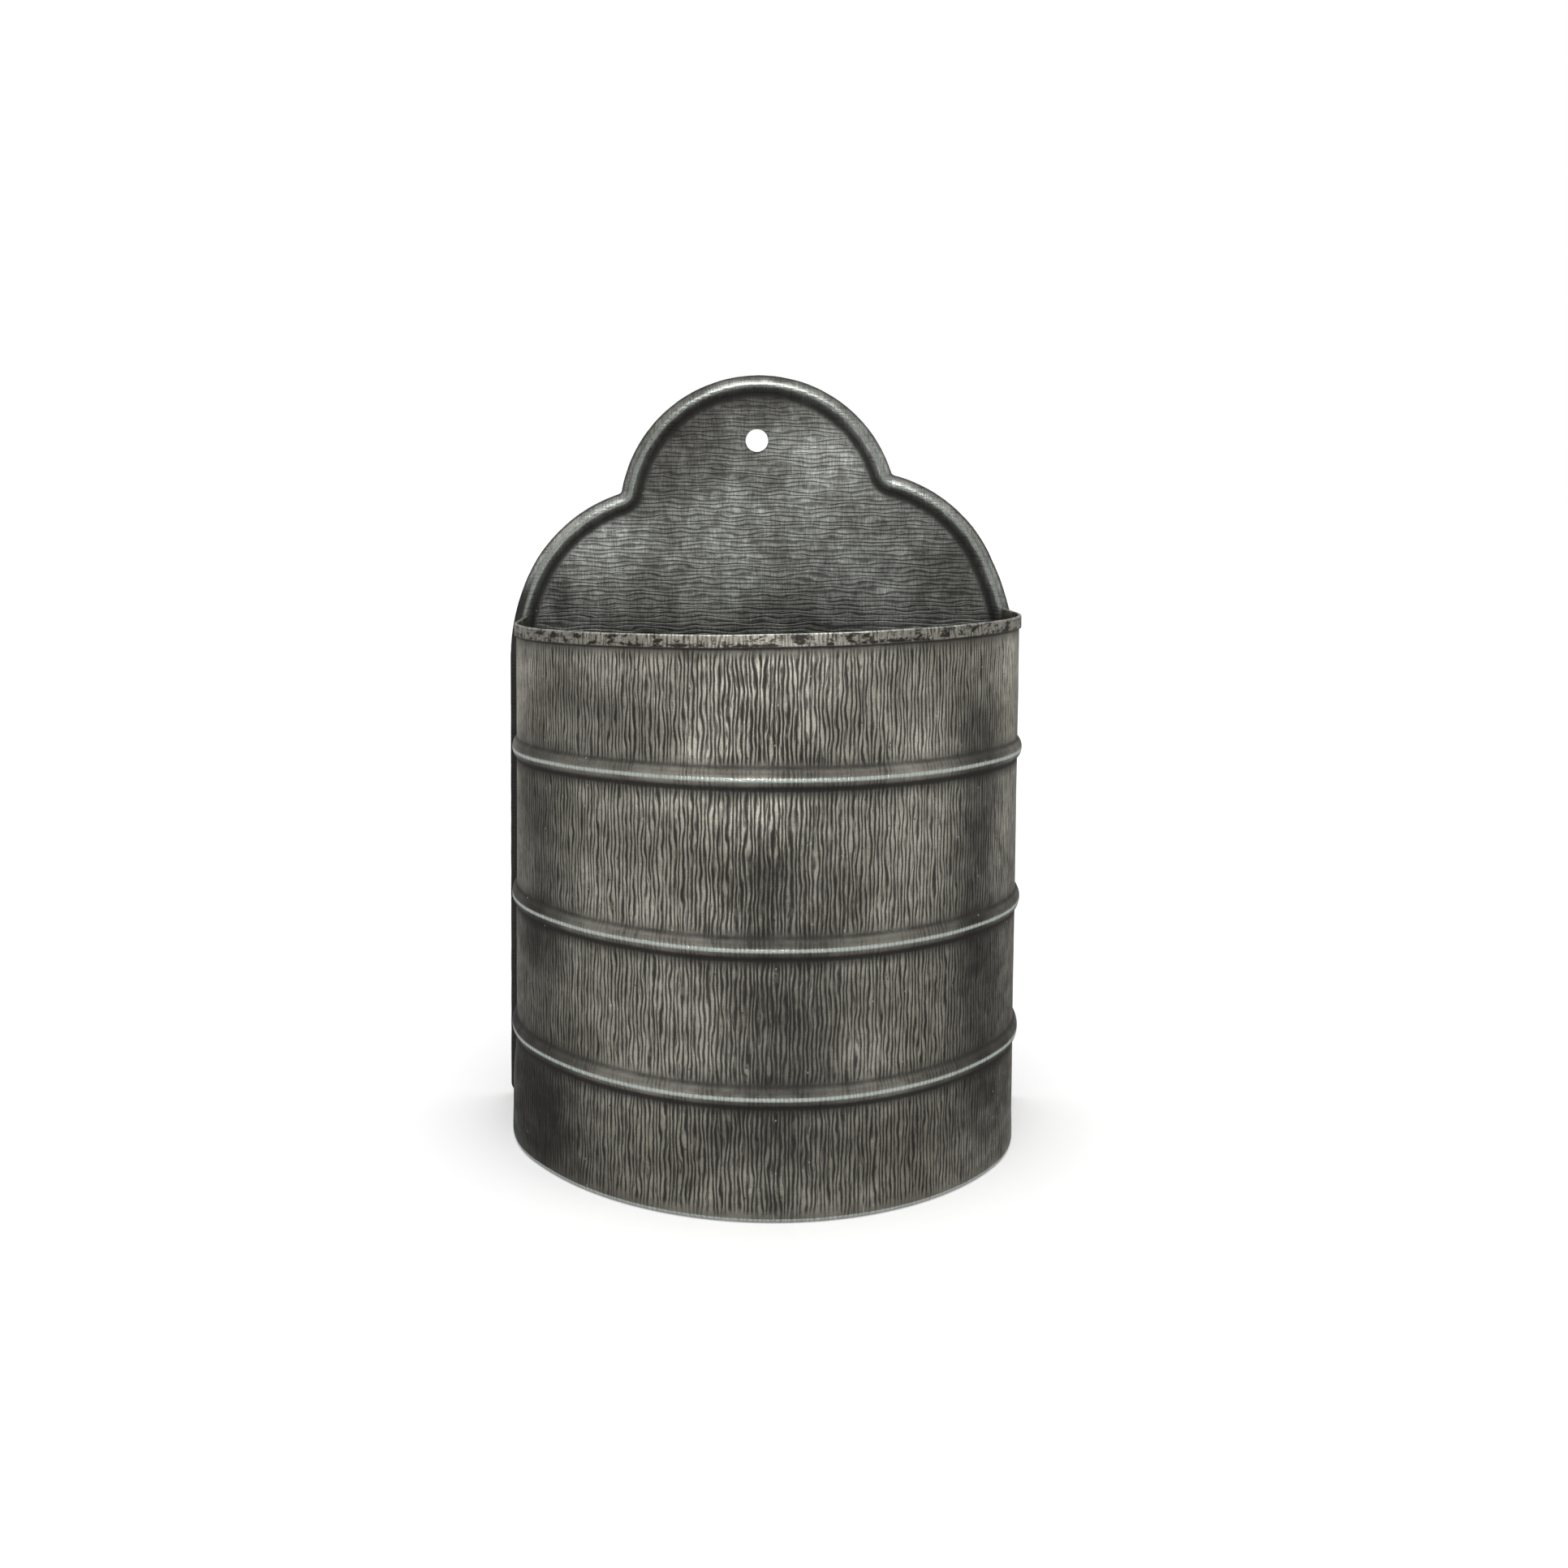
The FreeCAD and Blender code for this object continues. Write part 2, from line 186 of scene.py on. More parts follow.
def cut_skin(points, edges, outline, hole_radius=0.0):
    """Triangulate flat points inside the outline; source tells which given point each one is."""
    cut = delaunay_2d_cdt([Vector(p) for p in points], edges, [], 1, 1e-4)
    skin = np.array([tuple(v) for v in cut[0]])
    source = np.array([origin[0] if origin else -1 for origin in cut[3]])
    centres = np.array([skin[list(t)].mean(0) for t in cut[2]])
    kept = inside_loop(centres, outline) & (np.hypot(*centres.T) > hole_radius)
    return skin, source, [t for t, keep in zip(cut[2], kept) if keep]


def numbers_of(source, first, count):
    """Numbers in the skin of a run of the given points."""
    where = {int(s): k for k, s in enumerate(source)}
    return [where[first + k] for k in range(count)]


MASKS = ("crest", "hollow", "edge", "crease", "margin_patina_and_shade", "tone", "stain", "inside", "hem")


def even_masks(count, **values):
    """The same value of each mask on every point; a mask that isn't given is zero."""
    return {label: np.full(count, values.get(label, 0.0)) for label in MASKS}


def sheet_piece(name, points, faces, node_names, masks, sheet_uv):
    """Make one mesh object from millimetre points, with point masks and a map along the sheet."""
    mesh = bpy.data.meshes.new(name)
    mesh.from_pydata((np.asarray(points) * MM).tolist(), [], [list(f) for f in faces])
    mesh.validate()
    for mask_name, values in masks.items():
        mask = mesh.attributes.new(mask_name, "FLOAT", "POINT")
        mask.data.foreach_set("value", np.asarray(values, np.float32))
    layer = mesh.uv_layers.new(name="sheet")
    corners = np.empty(len(mesh.loops), np.int32)
    mesh.loops.foreach_get("vertex_index", corners)
    layer.uv.foreach_set("vector", np.asarray(sheet_uv, np.float32)[corners].ravel())
    edit = bmesh.new()
    edit.from_mesh(mesh)
    bmesh.ops.recalc_face_normals(edit, faces=edit.faces)
    edit.to_mesh(mesh)
    edit.free()
    mesh.shade_smooth()
    piece = bpy.data.objects.new(name, mesh)
    bpy.context.scene.collection.objects.link(piece)
    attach(piece, "root")
    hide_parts(*node_names)
    print(name, len(mesh.vertices), "points", len(mesh.polygons), "faces")
    return piece


# %% [markdown]
# ## Cloudy patches of patina, and painted light and shade
# The acid that ages zinc leaves clouds: pale where it was wiped off, brown or nearly black where it
# stood. Noise alone never puts them where they are on this piece, so the main ones are listed by
# name, as soft round spots in millimetres. Not all of them are patina. On the shell, the darkened
# spots down the middle, low in the middle and low right of it, under the rim, at the upper right
# and along both side edges are painted shade, and the lightened spots where the wall turns back on
# both sides are painted light. They are stored on the points of the sheet as two masks, "tone"
# (lighter or darker) and "stain" (brown), and noise in the material breaks their outlines.

# %% Patches: centre across, centre height, half width, half height, tone, stain
PLATE_PATCHES = {
    "pale cloud right of the hole": (29, -6, 17, 16, 0.95, 0.0),
    "pale left shoulder": (-70, -44, 20, 14, 0.42, 0.0),
    "brown top left of the lobe": (-36, -2, 17, 18, -0.42, 0.5),
    "brown above the hole": (-4, 18, 36, 11, -0.40, 0.4),
    "dull middle left": (-34, -60, 16, 14, -0.12, 0.1),
    "blot by the left rim": (-88, -70, 7, 11, -0.65, 0.2),
    "shade under the right shoulder": (88, -62, 14, 14, -0.38, 0.2),
    "pale below the hole": (6, -36, 16, 14, 0.28, 0.0),
    "dull right of the middle": (52, -62, 20, 14, -0.20, 0.0)}
SHELL_PATCHES = {
    "painted shade down the middle": (4, 84, 34, 100, -0.42, 0.1),
    "painted shade on the right edge": (90, 120, 17, 110, -0.52, 0.2),
    "painted shade on the left edge": (-108, 120, 20, 110, -0.22, 0.1),
    "painted shade upper right": (100, 165, 20, 40, -0.30, 0.1),
    "painted shade low in the middle": (4, 50, 32, 56, -0.32, 0.1),
    "painted shade low right of the middle": (62, 25, 28, 26, -0.22, 0.2),
    "painted shade under the rim": (6, 198, 36, 24, -0.16, 0.0),
    "dark cloud in the middle": (0, 130, 17, 13, -0.30, 0.2),
    "painted light on the left turn": (-152, 190, 18, 26, 0.62, 0.1),
    "painted light on the right turn": (116, 190, 10, 34, 0.55, 0.0),
    "green shade top left": (-74, 190, 26, 22, -0.40, 0.0),
    "pale spot below the rim": (-55, 211, 12, 6, 0.22, 0.0),
    "deep shade low left": (-122, 22, 54, 32, -1.06, 0.7),
    "shade left of the middle band": (-104, 100, 26, 28, -0.62, 0.3),
    "shade left of the upper band": (-108, 148, 22, 20, -0.35, 0.2),
    "brown low right": (110, 32, 26, 34, -0.45, 0.9),
    "shade right of the middle band": (100, 90, 22, 24, -0.35, 0.5),
    "brown side right": (150, 90, 24, 90, -0.25, 0.5),
    "brown side left": (-150, 50, 24, 60, -0.50, 0.5),
    "pale upper right": (84, 205, 20, 14, 0.12, 0.0),
    "pale upper left corner": (-118, 200, 18, 18, 0.15, 0.2)}


def soft_patches(patches, across, height):
    """Sum of soft spots: how much lighter or darker, and how brown, each point is."""
    tone, stain = np.zeros(len(across)), np.zeros(len(across))
    for x, z, half_width, half_height, lighter, browner in patches.values():
        spot = np.exp(-((across - x) / half_width) ** 2 - ((height - z) / half_height) ** 2)
        tone, stain = tone + lighter * spot, stain + browner * spot
    return tone, np.clip(stain, 0.0, 1.0)


print("patches:", len(PLATE_PATCHES), "on the plate,", len(SHELL_PATCHES), "on the shell")

# %% [markdown]
# ## Outline of the back plate
# The top of the plate is a run of circular arcs that touch each other: a slack and a tight arc on
# each shoulder, a small hollow arc in each notch and the big arc of the lobe. Rows of points at
# the same angles but at growing distances from the edge follow those arcs exactly, so the raised
# border keeps its width all the way round. Insetting a finished mesh could not promise that.

# %% Arcs of the outline
def direction(start, end):
    return math.atan2(end[1] - start[1], end[0] - start[0])


def near(angle, reference):
    return angle + 2 * math.pi * round((reference - angle) / (2 * math.pi))


def shoulder(side):
    """Centres of a shoulder's two arcs and of its notch."""
    s = SHOULDERS[side]
    sweep = math.radians(s["sweep"])
    slack = (CENTRE_X + side * (PLATE_HALF - s["slack"]), -s["start"])
    drop = s["slack"] - s["tight"]
    tight = (slack[0] + side * drop * math.cos(sweep), slack[1] + drop * math.sin(sweep))
    lobe_reach, tight_reach = LOBE_RADIUS + NOTCH_RADIUS, s["tight"] + NOTCH_RADIUS
    across = (tight[0] - LOBE_CENTRE[0], tight[1] - LOBE_CENTRE[1])
    span = math.hypot(*across)
    unit = (across[0] / span, across[1] / span)
    along = (lobe_reach ** 2 - tight_reach ** 2 + span ** 2) / (2 * span)
    rise = side * math.sqrt(lobe_reach ** 2 - along ** 2)
    notch = (LOBE_CENTRE[0] + along * unit[0] - rise * unit[1],
             LOBE_CENTRE[1] + along * unit[1] + rise * unit[0])
    return slack, tight, notch, sweep


def top_arcs():
    """Arcs from the left side over the lobe to the right: centre, radius, hollow, start, end."""
    arcs, lobe_ends = {}, []
    for side in (-1, 1):
        s = SHOULDERS[side]
        slack, tight, notch, sweep = shoulder(side)
        start, bend = (0.0, sweep) if side > 0 else (math.pi, math.pi - sweep)
        notch_angle = near(direction(tight, notch), math.pi / 2)
        at_shoulder = near(direction(notch, tight), -math.pi / 2)
        at_lobe = near(direction(notch, LOBE_CENTRE), -math.pi / 2)
        lobe_ends.append(near(direction(LOBE_CENTRE, notch), math.pi / 2))
        arcs[side] = [(slack, s["slack"], False, start, bend),
                      (tight, s["tight"], False, bend, notch_angle),
                      (notch, NOTCH_RADIUS, True, at_shoulder, at_lobe)]
    lobe = (LOBE_CENTRE, LOBE_RADIUS, False, lobe_ends[0], lobe_ends[1])
    right = [(c, r, hollow, end, start) for c, r, hollow, start, end in reversed(arcs[1])]
    return arcs[-1] + [lobe] + right


def edge_stations(spacing):
    """Stations along the top edge: arc, angle and running length."""
    stations, run = [], 0.0
    for arc in top_arcs():
        _, radius, hollow, start, end = arc
        length = (radius + (BORDER_INSET if hollow else 0.0)) * abs(end - start)
        count = max(4, round(length / spacing))
        for k in range(count):
            share = k / count
            stations.append((arc, start + (end - start) * share, run + share * length))
        run += length
    stations.append((arc, end, run))
    return stations


def at_inset(station, inset):
    """The point of a station that lies the given distance inside the plate's edge."""
    (centre, radius, hollow, _, _), angle, _ = station
    reach = radius + inset if hollow else radius - inset
    return centre[0] + reach * math.cos(angle), centre[1] + reach * math.sin(angle)


stations = edge_stations(1.1)
print("top edge", round(stations[-1][2]), "mm long,", len(stations), "stations")


# %% Height of the raised border
def border_rise(inset, z, side_x):
    """Height of the border bead; it runs out in a round end below the rim."""
    across = np.abs(np.asarray(inset, float) - BORDER_INSET)
    end_z = rim_z(side_x) - BORDER_TUCK
    past = np.maximum(end_z - np.asarray(z, float), 0.0)
    reach = np.hypot(across, past) / BORDER_HALF_WIDTH
    crown = 0.5 + 0.5 * np.cos(np.pi * np.minimum(reach, 1.0))
    return BORDER_HEIGHT * crown ** 0.8


# %% [markdown]
# ## Back plate
# One flat sheet with a raised border bead pressed from behind, a sheared edge and a punched hole.
# Rows of points carry the edge and the bead, a coarse grid fills the middle, and a constrained
# triangulation joins them into one skin. The back skin lies one sheet thickness behind
# the front one, so the bead is hollow at the back, as a pressed bead is.

# %% Points of the back plate
EDGE_ROUND = 0.13
MEAN_NICK = 0.16
SIDE_STEPS = 40
BASE_STEPS = 50
PLATE_GRID = 3.6
HOLE_POINTS = 48
side_low = BASE_Z + PLATE_CORNER
side_run = len(stations) + 1
edge_rows = [0.4, 0.9, 1.5] + [2.0 + 0.42 * k for k in range(18)] + [9.8, 10.8, 12.4]


def ragged(run):
    """A sheared edge wanders a little and is nicked here and there; it only ever goes inwards."""
    slow = noise.noise(Vector((run / 9.0, 3.1, 0.0)))
    quick = noise.noise(Vector((run / 1.7, 8.4, 0.0)))
    return MEAN_NICK + 0.10 * slow + 0.07 * quick


def outline_loop(extra):
    """The plate's closed outline, the given distance inside its sheared edge."""
    loop = [at_inset(s, extra + ragged(s[2])) for s in stations]
    left_top, right_top = loop[0][1], loop[-1][1]
    left, right = CENTRE_X - PLATE_HALF, CENTRE_X + PLATE_HALF
    reach = PLATE_CORNER - extra - MEAN_NICK

    def corner(x, first):
        turns = [first - math.pi / 2 * k / 6 for k in range(7)]
        return [(x + reach * math.cos(t), side_low + reach * math.sin(t)) for t in turns]

    loop += [(right - extra - ragged(side_run + 5.0 * k),
              right_top + (side_low - right_top) * k / SIDE_STEPS) for k in range(1, SIDE_STEPS)]
    loop += corner(right - PLATE_CORNER, 0.0)
    loop += [(right - PLATE_CORNER - (2 * PLATE_HALF - 2 * PLATE_CORNER) * k / BASE_STEPS,
              BASE_Z + extra + MEAN_NICK) for k in range(1, BASE_STEPS)]
    loop += corner(left + PLATE_CORNER, -math.pi / 2)
    loop += [(left + extra + ragged(side_run + 400.0 + 5.0 * k),
              side_low + (left_top - side_low) * k / SIDE_STEPS) for k in range(1, SIDE_STEPS)]
    return np.array(loop)


front_loop = outline_loop(EDGE_ROUND)
plate_points, plate_inset = [], []
for inset in edge_rows:
    share = max(0.0, 1.0 - inset / 3.0)
    for station in stations:
        edge = ragged(station[2])
        plate_points.append(at_inset(station, inset + EDGE_ROUND * share + edge * share))
        plate_inset.append(inset)
inner = [at_inset(s, edge_rows[-1] + 2.0) for s in stations]
low = BASE_Z + 2.5
inner += [(inner[-1][0] + 11.0, inner[-1][1] - 4.0), (CENTRE_X + PLATE_HALF - 2.5, low),
          (CENTRE_X - PLATE_HALF + 2.5, low), (inner[0][0] - 11.0, inner[0][1] - 4.0)]
grid_x, grid_z = np.meshgrid(np.arange(-110, 119, PLATE_GRID), np.arange(-298, 30, PLATE_GRID))
middle = np.stack([grid_x.ravel(), grid_z.ravel()], -1)
middle = middle[inside_loop(middle, np.array(inner))]
middle = middle[np.hypot(middle[:, 0], middle[:, 1]) > HOLE_RADIUS + 3.2]
turns = np.linspace(0, 2 * math.pi, HOLE_POINTS, endpoint=False)
hole_loop, *hole_rows = [np.stack([r * np.cos(turns), r * np.sin(turns)], -1)
                         for r in (HOLE_RADIUS, HOLE_RADIUS + EDGE_ROUND, HOLE_RADIUS + 0.6,
                                   HOLE_RADIUS + 1.3, HOLE_RADIUS + 2.2)]
print("plate rows", len(plate_points), "middle", len(middle))

# %% Triangulate the back plate and give its front a relief
flat = np.vstack([front_loop, hole_rows[0], plate_points, middle] + hole_rows[1:])
loop_count = len(front_loop)
first_row = loop_count + HOLE_POINTS
rims = closed_edges(0, loop_count) + closed_edges(loop_count, HOLE_POINTS)
skin, source, triangles = cut_skin(flat, rims, front_loop, HOLE_RADIUS)
lookup = np.full(len(flat), FAR)
lookup[:loop_count] = 0.1
lookup[first_row:first_row + len(plate_points)] = plate_inset
inset = np.where(source >= 0, lookup[source], FAR)
straight = (skin[:, 1] < SIDE_TOP_Z) & (inset < 0.2)
side_x = np.where(skin[:, 0] < CENTRE_X, CENTRE_X - PLATE_HALF, CENTRE_X + PLATE_HALF)
rise = np.where((inset < 20) & ~straight, border_rise(inset, skin[:, 1], side_x), 0.0)
spots = [(x, 0.0, z) for x, z in skin]
dents = 0.16 * (1 + unevenness(spots, 55.0, 1.0)) + 0.10 * (1 + unevenness(spots, 23.0, 2.0))
calm = smooth_step(np.hypot(skin[:, 0], skin[:, 1]), 6.0, 16.0)
above_rim = smooth_step(skin[:, 1], -110.0, -90.0)
front_y = PLATE_FRONT - rise - dents * calm * above_rim  # flat round the hole and behind the shell
print("plate skin", len(skin), "points", len(triangles), "triangles, relief",
      round(-front_y.min(), 2))

# %% Give the back plate its thickness and close its edges
count = len(skin)
slope_normals = np.zeros((count, 3))
front_points = np.stack([skin[:, 0], front_y, skin[:, 1]], -1)
tri = np.array(triangles)
facing = np.cross(front_points[tri[:, 1]] - front_points[tri[:, 0]],
                  front_points[tri[:, 2]] - front_points[tri[:, 0]])
facing *= np.where(facing[:, 1:2] > 0, 1.0, -1.0)
for corner in range(3):
    np.add.at(slope_normals, tri[:, corner], facing)
slope_normals /= np.linalg.norm(slope_normals, axis=1, keepdims=True)
rear_points = front_points + SHEET * slope_normals
rear_points[:, 1] = np.minimum(rear_points[:, 1], 0.0)
plate_faces = [tuple(t) for t in triangles] + [tuple(count + k for k in t) for t in triangles]
points, insets = [front_points, rear_points], [inset, np.maximum(inset, 30.0)]
next_index = 2 * count
for rim_loop, first in ((outline_loop(0.0), 0), (hole_loop, loop_count)):
    size = len(rim_loop)
    ring = numbers_of(source, first, size)
    for share in (0.22, 0.78):
        y = front_points[ring][:, 1] + SHEET * share
        points.append(np.stack([rim_loop[:, 0], y, rim_loop[:, 1]], -1))
        insets.append(np.zeros(size))
    plate_faces += bands([ring, range(next_index, next_index + size),
                          range(next_index + size, next_index + 2 * size),
                          [count + k for k in ring]])
    next_index += 2 * size
points = np.vstack(points)
print("plate", len(points), "points", len(plate_faces), "faces")

# %% Masks of the back plate, then the piece
# Distances are in millimetres: insets from the sheared edge, heights from the hanging hole.
inset_all = np.concatenate(insets)
across, upwards = points[:, 0], points[:, 2]
# the inner flank and root of the border bead are darkened: painted shade, with some dirt in the
# root
inner_root = np.clip((inset_all - 4.6) / 3.4, 0.0, 1.0) ** 1.3
inner_root = inner_root * (1.0 - smooth_step(inset_all, 8.8, 11.4))
root_end = smooth_step(upwards, -96.0, -84.0)
# the strip of plate outside the border bead, below the shoulders and beside the shell, is darkened:
# dark patina and painted shade
left_share = smooth_step(upwards, -58.0, -72.0) * (across < CENTRE_X)
right_share = smooth_step(upwards, -66.0, -84.0) * (across > CENTRE_X)
side_gap = PLATE_HALF - np.abs(across - CENTRE_X)
outside_bead = 1.0 - smooth_step(np.minimum(inset_all, side_gap), 3.2, 5.2)
margin_patina_and_shade = outside_bead * (left_share + right_share)
margin_patina_and_shade = np.maximum(margin_patina_and_shade, smooth_step(upwards, -76.0, -82.0) * (side_gap < 8.5))
margin_patina_and_shade[count:] *= 0.25
tone, stain = soft_patches(PLATE_PATCHES, across, upwards)
lit_lip = (1.0 - smooth_step(inset_all, 3.4, 4.8)) * smooth_step(inset_all, 0.4, 1.4)
tone += lit_lip * (0.42 + 0.62 * soft_spot(upwards, -42.0, 20.0))
plate_masks = {
    # a bright band on the outer flank of the border bead: rubbed metal and a painted highlight
    "crest": soft_spot(inset_all, 4.1, 1.0) * smooth_step(upwards, -88.0, -74.0),
    "hollow": np.where(inset_all < 20, inner_root * root_end, 0.0),
    # a dark line along the sheared edge: painted shade on the edge
    "edge": np.exp(-(inset_all / 0.7)),
    "crease": 0.25 + 0.75 * smooth_step(inset_all, 9.0, 13.0),
    "margin_patina_and_shade": np.clip(margin_patina_and_shade, 0.0, 1.0),
    "tone": tone,
    "stain": stain,
    "inside": np.where(np.arange(len(points)) < count, 0.0, 0.6)}
back_plate = sheet_piece("zinc_back_plate", points, plate_faces, ["back_plate"],
                         plate_masks, points[:, [2, 0]] * MM)

# %% [markdown]
# ## Front shell
# The shell is one sheet: its rim is folded outwards into a hem, three beads are rolled into it and
# its lower edge is turned in. All of that is one closed profile, in the plane across the sheet.
# Carrying the profile along the plan of the pocket gives every bend at once with even quads. Each
# bead is a convex arc that runs into a hollow arc at its root, as a rolled bead does, because
# sheet metal cannot take the sharp corner of a plain circle segment.

# %% Profile across the shell
bead_reach = (BEAD_HALF_WIDTH ** 2 + BEAD_BULGE ** 2) / (2 * BEAD_BULGE)
bead_crown = bead_reach - BEAD_ROOT


def wall_rise(height, behind=0.0):
    """Distance of the wall from its flat face; behind is how far below that face a skin lies."""
    crown, root = bead_crown - behind, BEAD_ROOT + behind
    for bead in BEADS:
        d = abs(height - bead)
        if d < crown * BEAD_HALF_WIDTH / bead_reach:
            return BEAD_BULGE - bead_crown + math.sqrt(crown ** 2 - d ** 2)
        if d < BEAD_HALF_WIDTH:
            return BEAD_ROOT - math.sqrt(root ** 2 - (BEAD_HALF_WIDTH - d) ** 2)
    return -behind


def wall_heights():
    """Heights above the base, close together on the beads and wide apart between them."""
    marks = [FOLD_RADIUS]
    for bead in BEADS:
        low, high = bead - BEAD_HALF_WIDTH - 0.4, bead + BEAD_HALF_WIDTH + 0.4
        marks += list(np.linspace(marks[-1], low, max(3, round((low - marks[-1]) / 3.5)))[1:])
        marks += list(np.linspace(low, high, 27)[1:])
    top = HEM_EDGE - 1.0
    marks += list(np.linspace(marks[-1], top, round((top - marks[-1]) / 3.5))[1:])
    return marks


def arc_points(centre, radius, start, end, count):
    """Points of an arc in the profile plane, in degrees from outwards towards up."""
    turns = np.radians(np.linspace(start, end, count))
    return [(centre[0] + radius * math.cos(t), centre[1] + radius * math.sin(t)) for t in turns]


leaf_out = HEM_GAP + SHEET
fold_r = (leaf_out + SHEET) / 2
fold_at = (leaf_out - fold_r, RIM_HEIGHT - fold_r)
outer_skin = [(-FOLD_WIDTH, 0.0), (-FOLD_WIDTH + 1.5, 0.0), (-3.0, 0.0)]
outer_skin += arc_points((-FOLD_RADIUS, FOLD_RADIUS), FOLD_RADIUS, -90, 0, 7)
outer_skin += [(wall_rise(h), h) for h in wall_heights()[1:]]
outer_skin += [(0.0, HEM_EDGE), (0.0, RIM_HEIGHT - 1.2)]
outer_skin += arc_points((HEM_GAP / 2, RIM_HEIGHT - SHEET - HEM_GAP / 2), HEM_GAP / 2, 170, 10, 4)
outer_skin += [(HEM_GAP, RIM_HEIGHT - 1.6), (HEM_GAP, HEM_EDGE + 0.2)]
outer_skin += arc_points((HEM_GAP + 0.2, HEM_EDGE + 0.2), 0.2, 190, 260, 3)
outer_skin += arc_points((leaf_out - 0.2, HEM_EDGE + 0.2), 0.2, 280, 350, 3)
leaf_start = len(outer_skin)
outer_skin += [(leaf_out, HEM_EDGE + step) for step in (0.7, 1.4, 2.2, 3.0, 3.8)]
outer_skin += arc_points(fold_at, fold_r, 0, 180, 11)
inner_skin = [(wall_rise(h, SHEET), h) for h in reversed(wall_heights()[1:])]
inner_skin = [(-SHEET, RIM_HEIGHT - 3.5)] + inner_skin
inner_skin += arc_points((-FOLD_RADIUS, FOLD_RADIUS), FOLD_RADIUS - SHEET, 0, -90, 5)
inner_skin += [(-3.0, SHEET), (-FOLD_WIDTH + 0.2, SHEET), (-FOLD_WIDTH, SHEET / 2)]
profile = np.array(outer_skin + inner_skin)
outer_count = len(outer_skin)
steps = np.hypot(*np.diff(profile, axis=0).T)
along_sheet = np.concatenate([[0.0], np.cumsum(steps)])
print("profile points:", len(profile), "sheet width", round(along_sheet[outer_count]))


# %% Plan of the pocket
def plan_path(spacing):
    """Stations along the outside of the pocket: x, y, outward direction and running length."""
    nose = SHELL_DEPTH - SHELL_STRAIGHT
    front_r = ((SHELL_HALF ** 2 + nose ** 2 - 2 * SHELL_HALF * SIDE_RADIUS)
               / (2 * (nose - SIDE_RADIUS)))
    front_y = front_r - SHELL_DEPTH
    reach = SHELL_HALF - SIDE_RADIUS
    bend = math.atan2(front_y + SHELL_STRAIGHT, reach)
    arcs = [((CENTRE_X - reach, -SHELL_STRAIGHT), SIDE_RADIUS, math.pi, math.pi + bend),
            ((CENTRE_X, front_y), front_r, math.pi + bend, 2 * math.pi - bend),
            ((CENTRE_X + reach, -SHELL_STRAIGHT), SIDE_RADIUS, 2 * math.pi - bend, 2 * math.pi)]
    straight = SHELL_STRAIGHT + PLATE_FRONT
    marks = [0.0, 1.6] + list(np.linspace(3.2, straight, round(straight / spacing)))
    path = [(CENTRE_X - SHELL_HALF, PLATE_FRONT - m, -1.0, 0.0, m) for m in marks]
    run = straight
    for centre, radius, start, end in arcs:
        length = radius * (end - start)
        count = round(length / spacing)
        for k in range(1, count + 1):
            turn = start + (end - start) * k / count
            out = (math.cos(turn), math.sin(turn))
            path.append((centre[0] + radius * out[0], centre[1] + radius * out[1], *out,
                         run + length * k / count))
        run += length
    path += [(CENTRE_X + SHELL_HALF, PLATE_FRONT - m, 1.0, 0.0, run + straight - m)
             for m in reversed(marks[:-1])]
    return np.array(path), run + straight


path, path_length = plan_path(2.4)
print("around the pocket:", round(path_length), "mm,", len(path), "stations")

# %% Carry the profile along the plan
rows, columns = len(path), len(profile)
out, height = profile.T
top_share = smooth_step(height, BEADS[-1] + 8.0, HEM_EDGE - 2.0)
outwards = path[:, None, 2:4]
sheet_run = path[:, 4] - path_length / 2
bend_spots = np.broadcast_arrays(path[:, None, 0], path[:, None, 1], height[None, :])
flat_spots = np.stack(bend_spots, -1).reshape(-1, 3)
slack = 0.20 * unevenness(flat_spots, 48.0, 3.0) + 0.08 * unevenness(flat_spots, 17.0, 4.0) - 0.28
slack = slack.reshape(rows, columns) * smooth_step(height, 3.0, 16.0)[None, :]
from_rear = np.minimum(path[:, 4], path_length - path[:, 4])
near_rear = smooth_step(from_rear, 1.0, 14.0)[:, None]
flare = smooth_step(-sheet_run, 95.0, 150.0)[:, None] * CORNER_FLARE
flare = flare * smooth_step(height, 46.0, 24.0)[None, :]
reach = out[None, :] + (slack + flare) * near_rear
wander = np.array([noise.noise(Vector((run / 30.0, 1.7, 0.0))) for run in path[:, 4]])[:, None]
lift = wander * 0.22 * smooth_step(height, 20.0, 60.0)[None, :]
sideways = (path[:, 0] - CENTRE_X) / SHELL_HALF
for side, lifts in BEAD_LIFTS.items():
    share = np.where(side * sideways > 0, sideways ** 2, 0.0)
    at_height = np.interp(height, (4.0, *BEADS, RIM_HEIGHT - 12.0), (0, *lifts, 0))
    lift = lift + share[:, None] * at_height[None, :]
x = path[:, None, 0] + outwards[:, :, 0] * reach
y = path[:, None, 1] + outwards[:, :, 1] * reach
z = BASE_Z + height[None, :] + lift + RIM_SLOPE * (x - CENTRE_X) * top_share[None, :]


def border_under(x, z):
    """Height of the plate's border bead below a place on the shell's rear edge."""
    side = -1 if x < CENTRE_X else 1
    centre = shoulder(side)[0]
    if z < centre[1]:
        return 0.0
    inset_here = SHOULDERS[side]["slack"] - math.hypot(x - centre[0], z - centre[1])
    return float(border_rise(inset_here, z, CENTRE_X + side * PLATE_HALF))


for row in (0, rows - 1):
    for column in range(columns):
        under = border_under(x[row, column], z[row, column])
        if under > 0.02:
            y[row, column] -= under + 0.15
shell_points = np.stack([x, y, z], -1).reshape(-1, 3)
shell_faces = tube_faces(rows, columns)
print("shell", len(shell_points), "points", len(shell_faces), "faces")

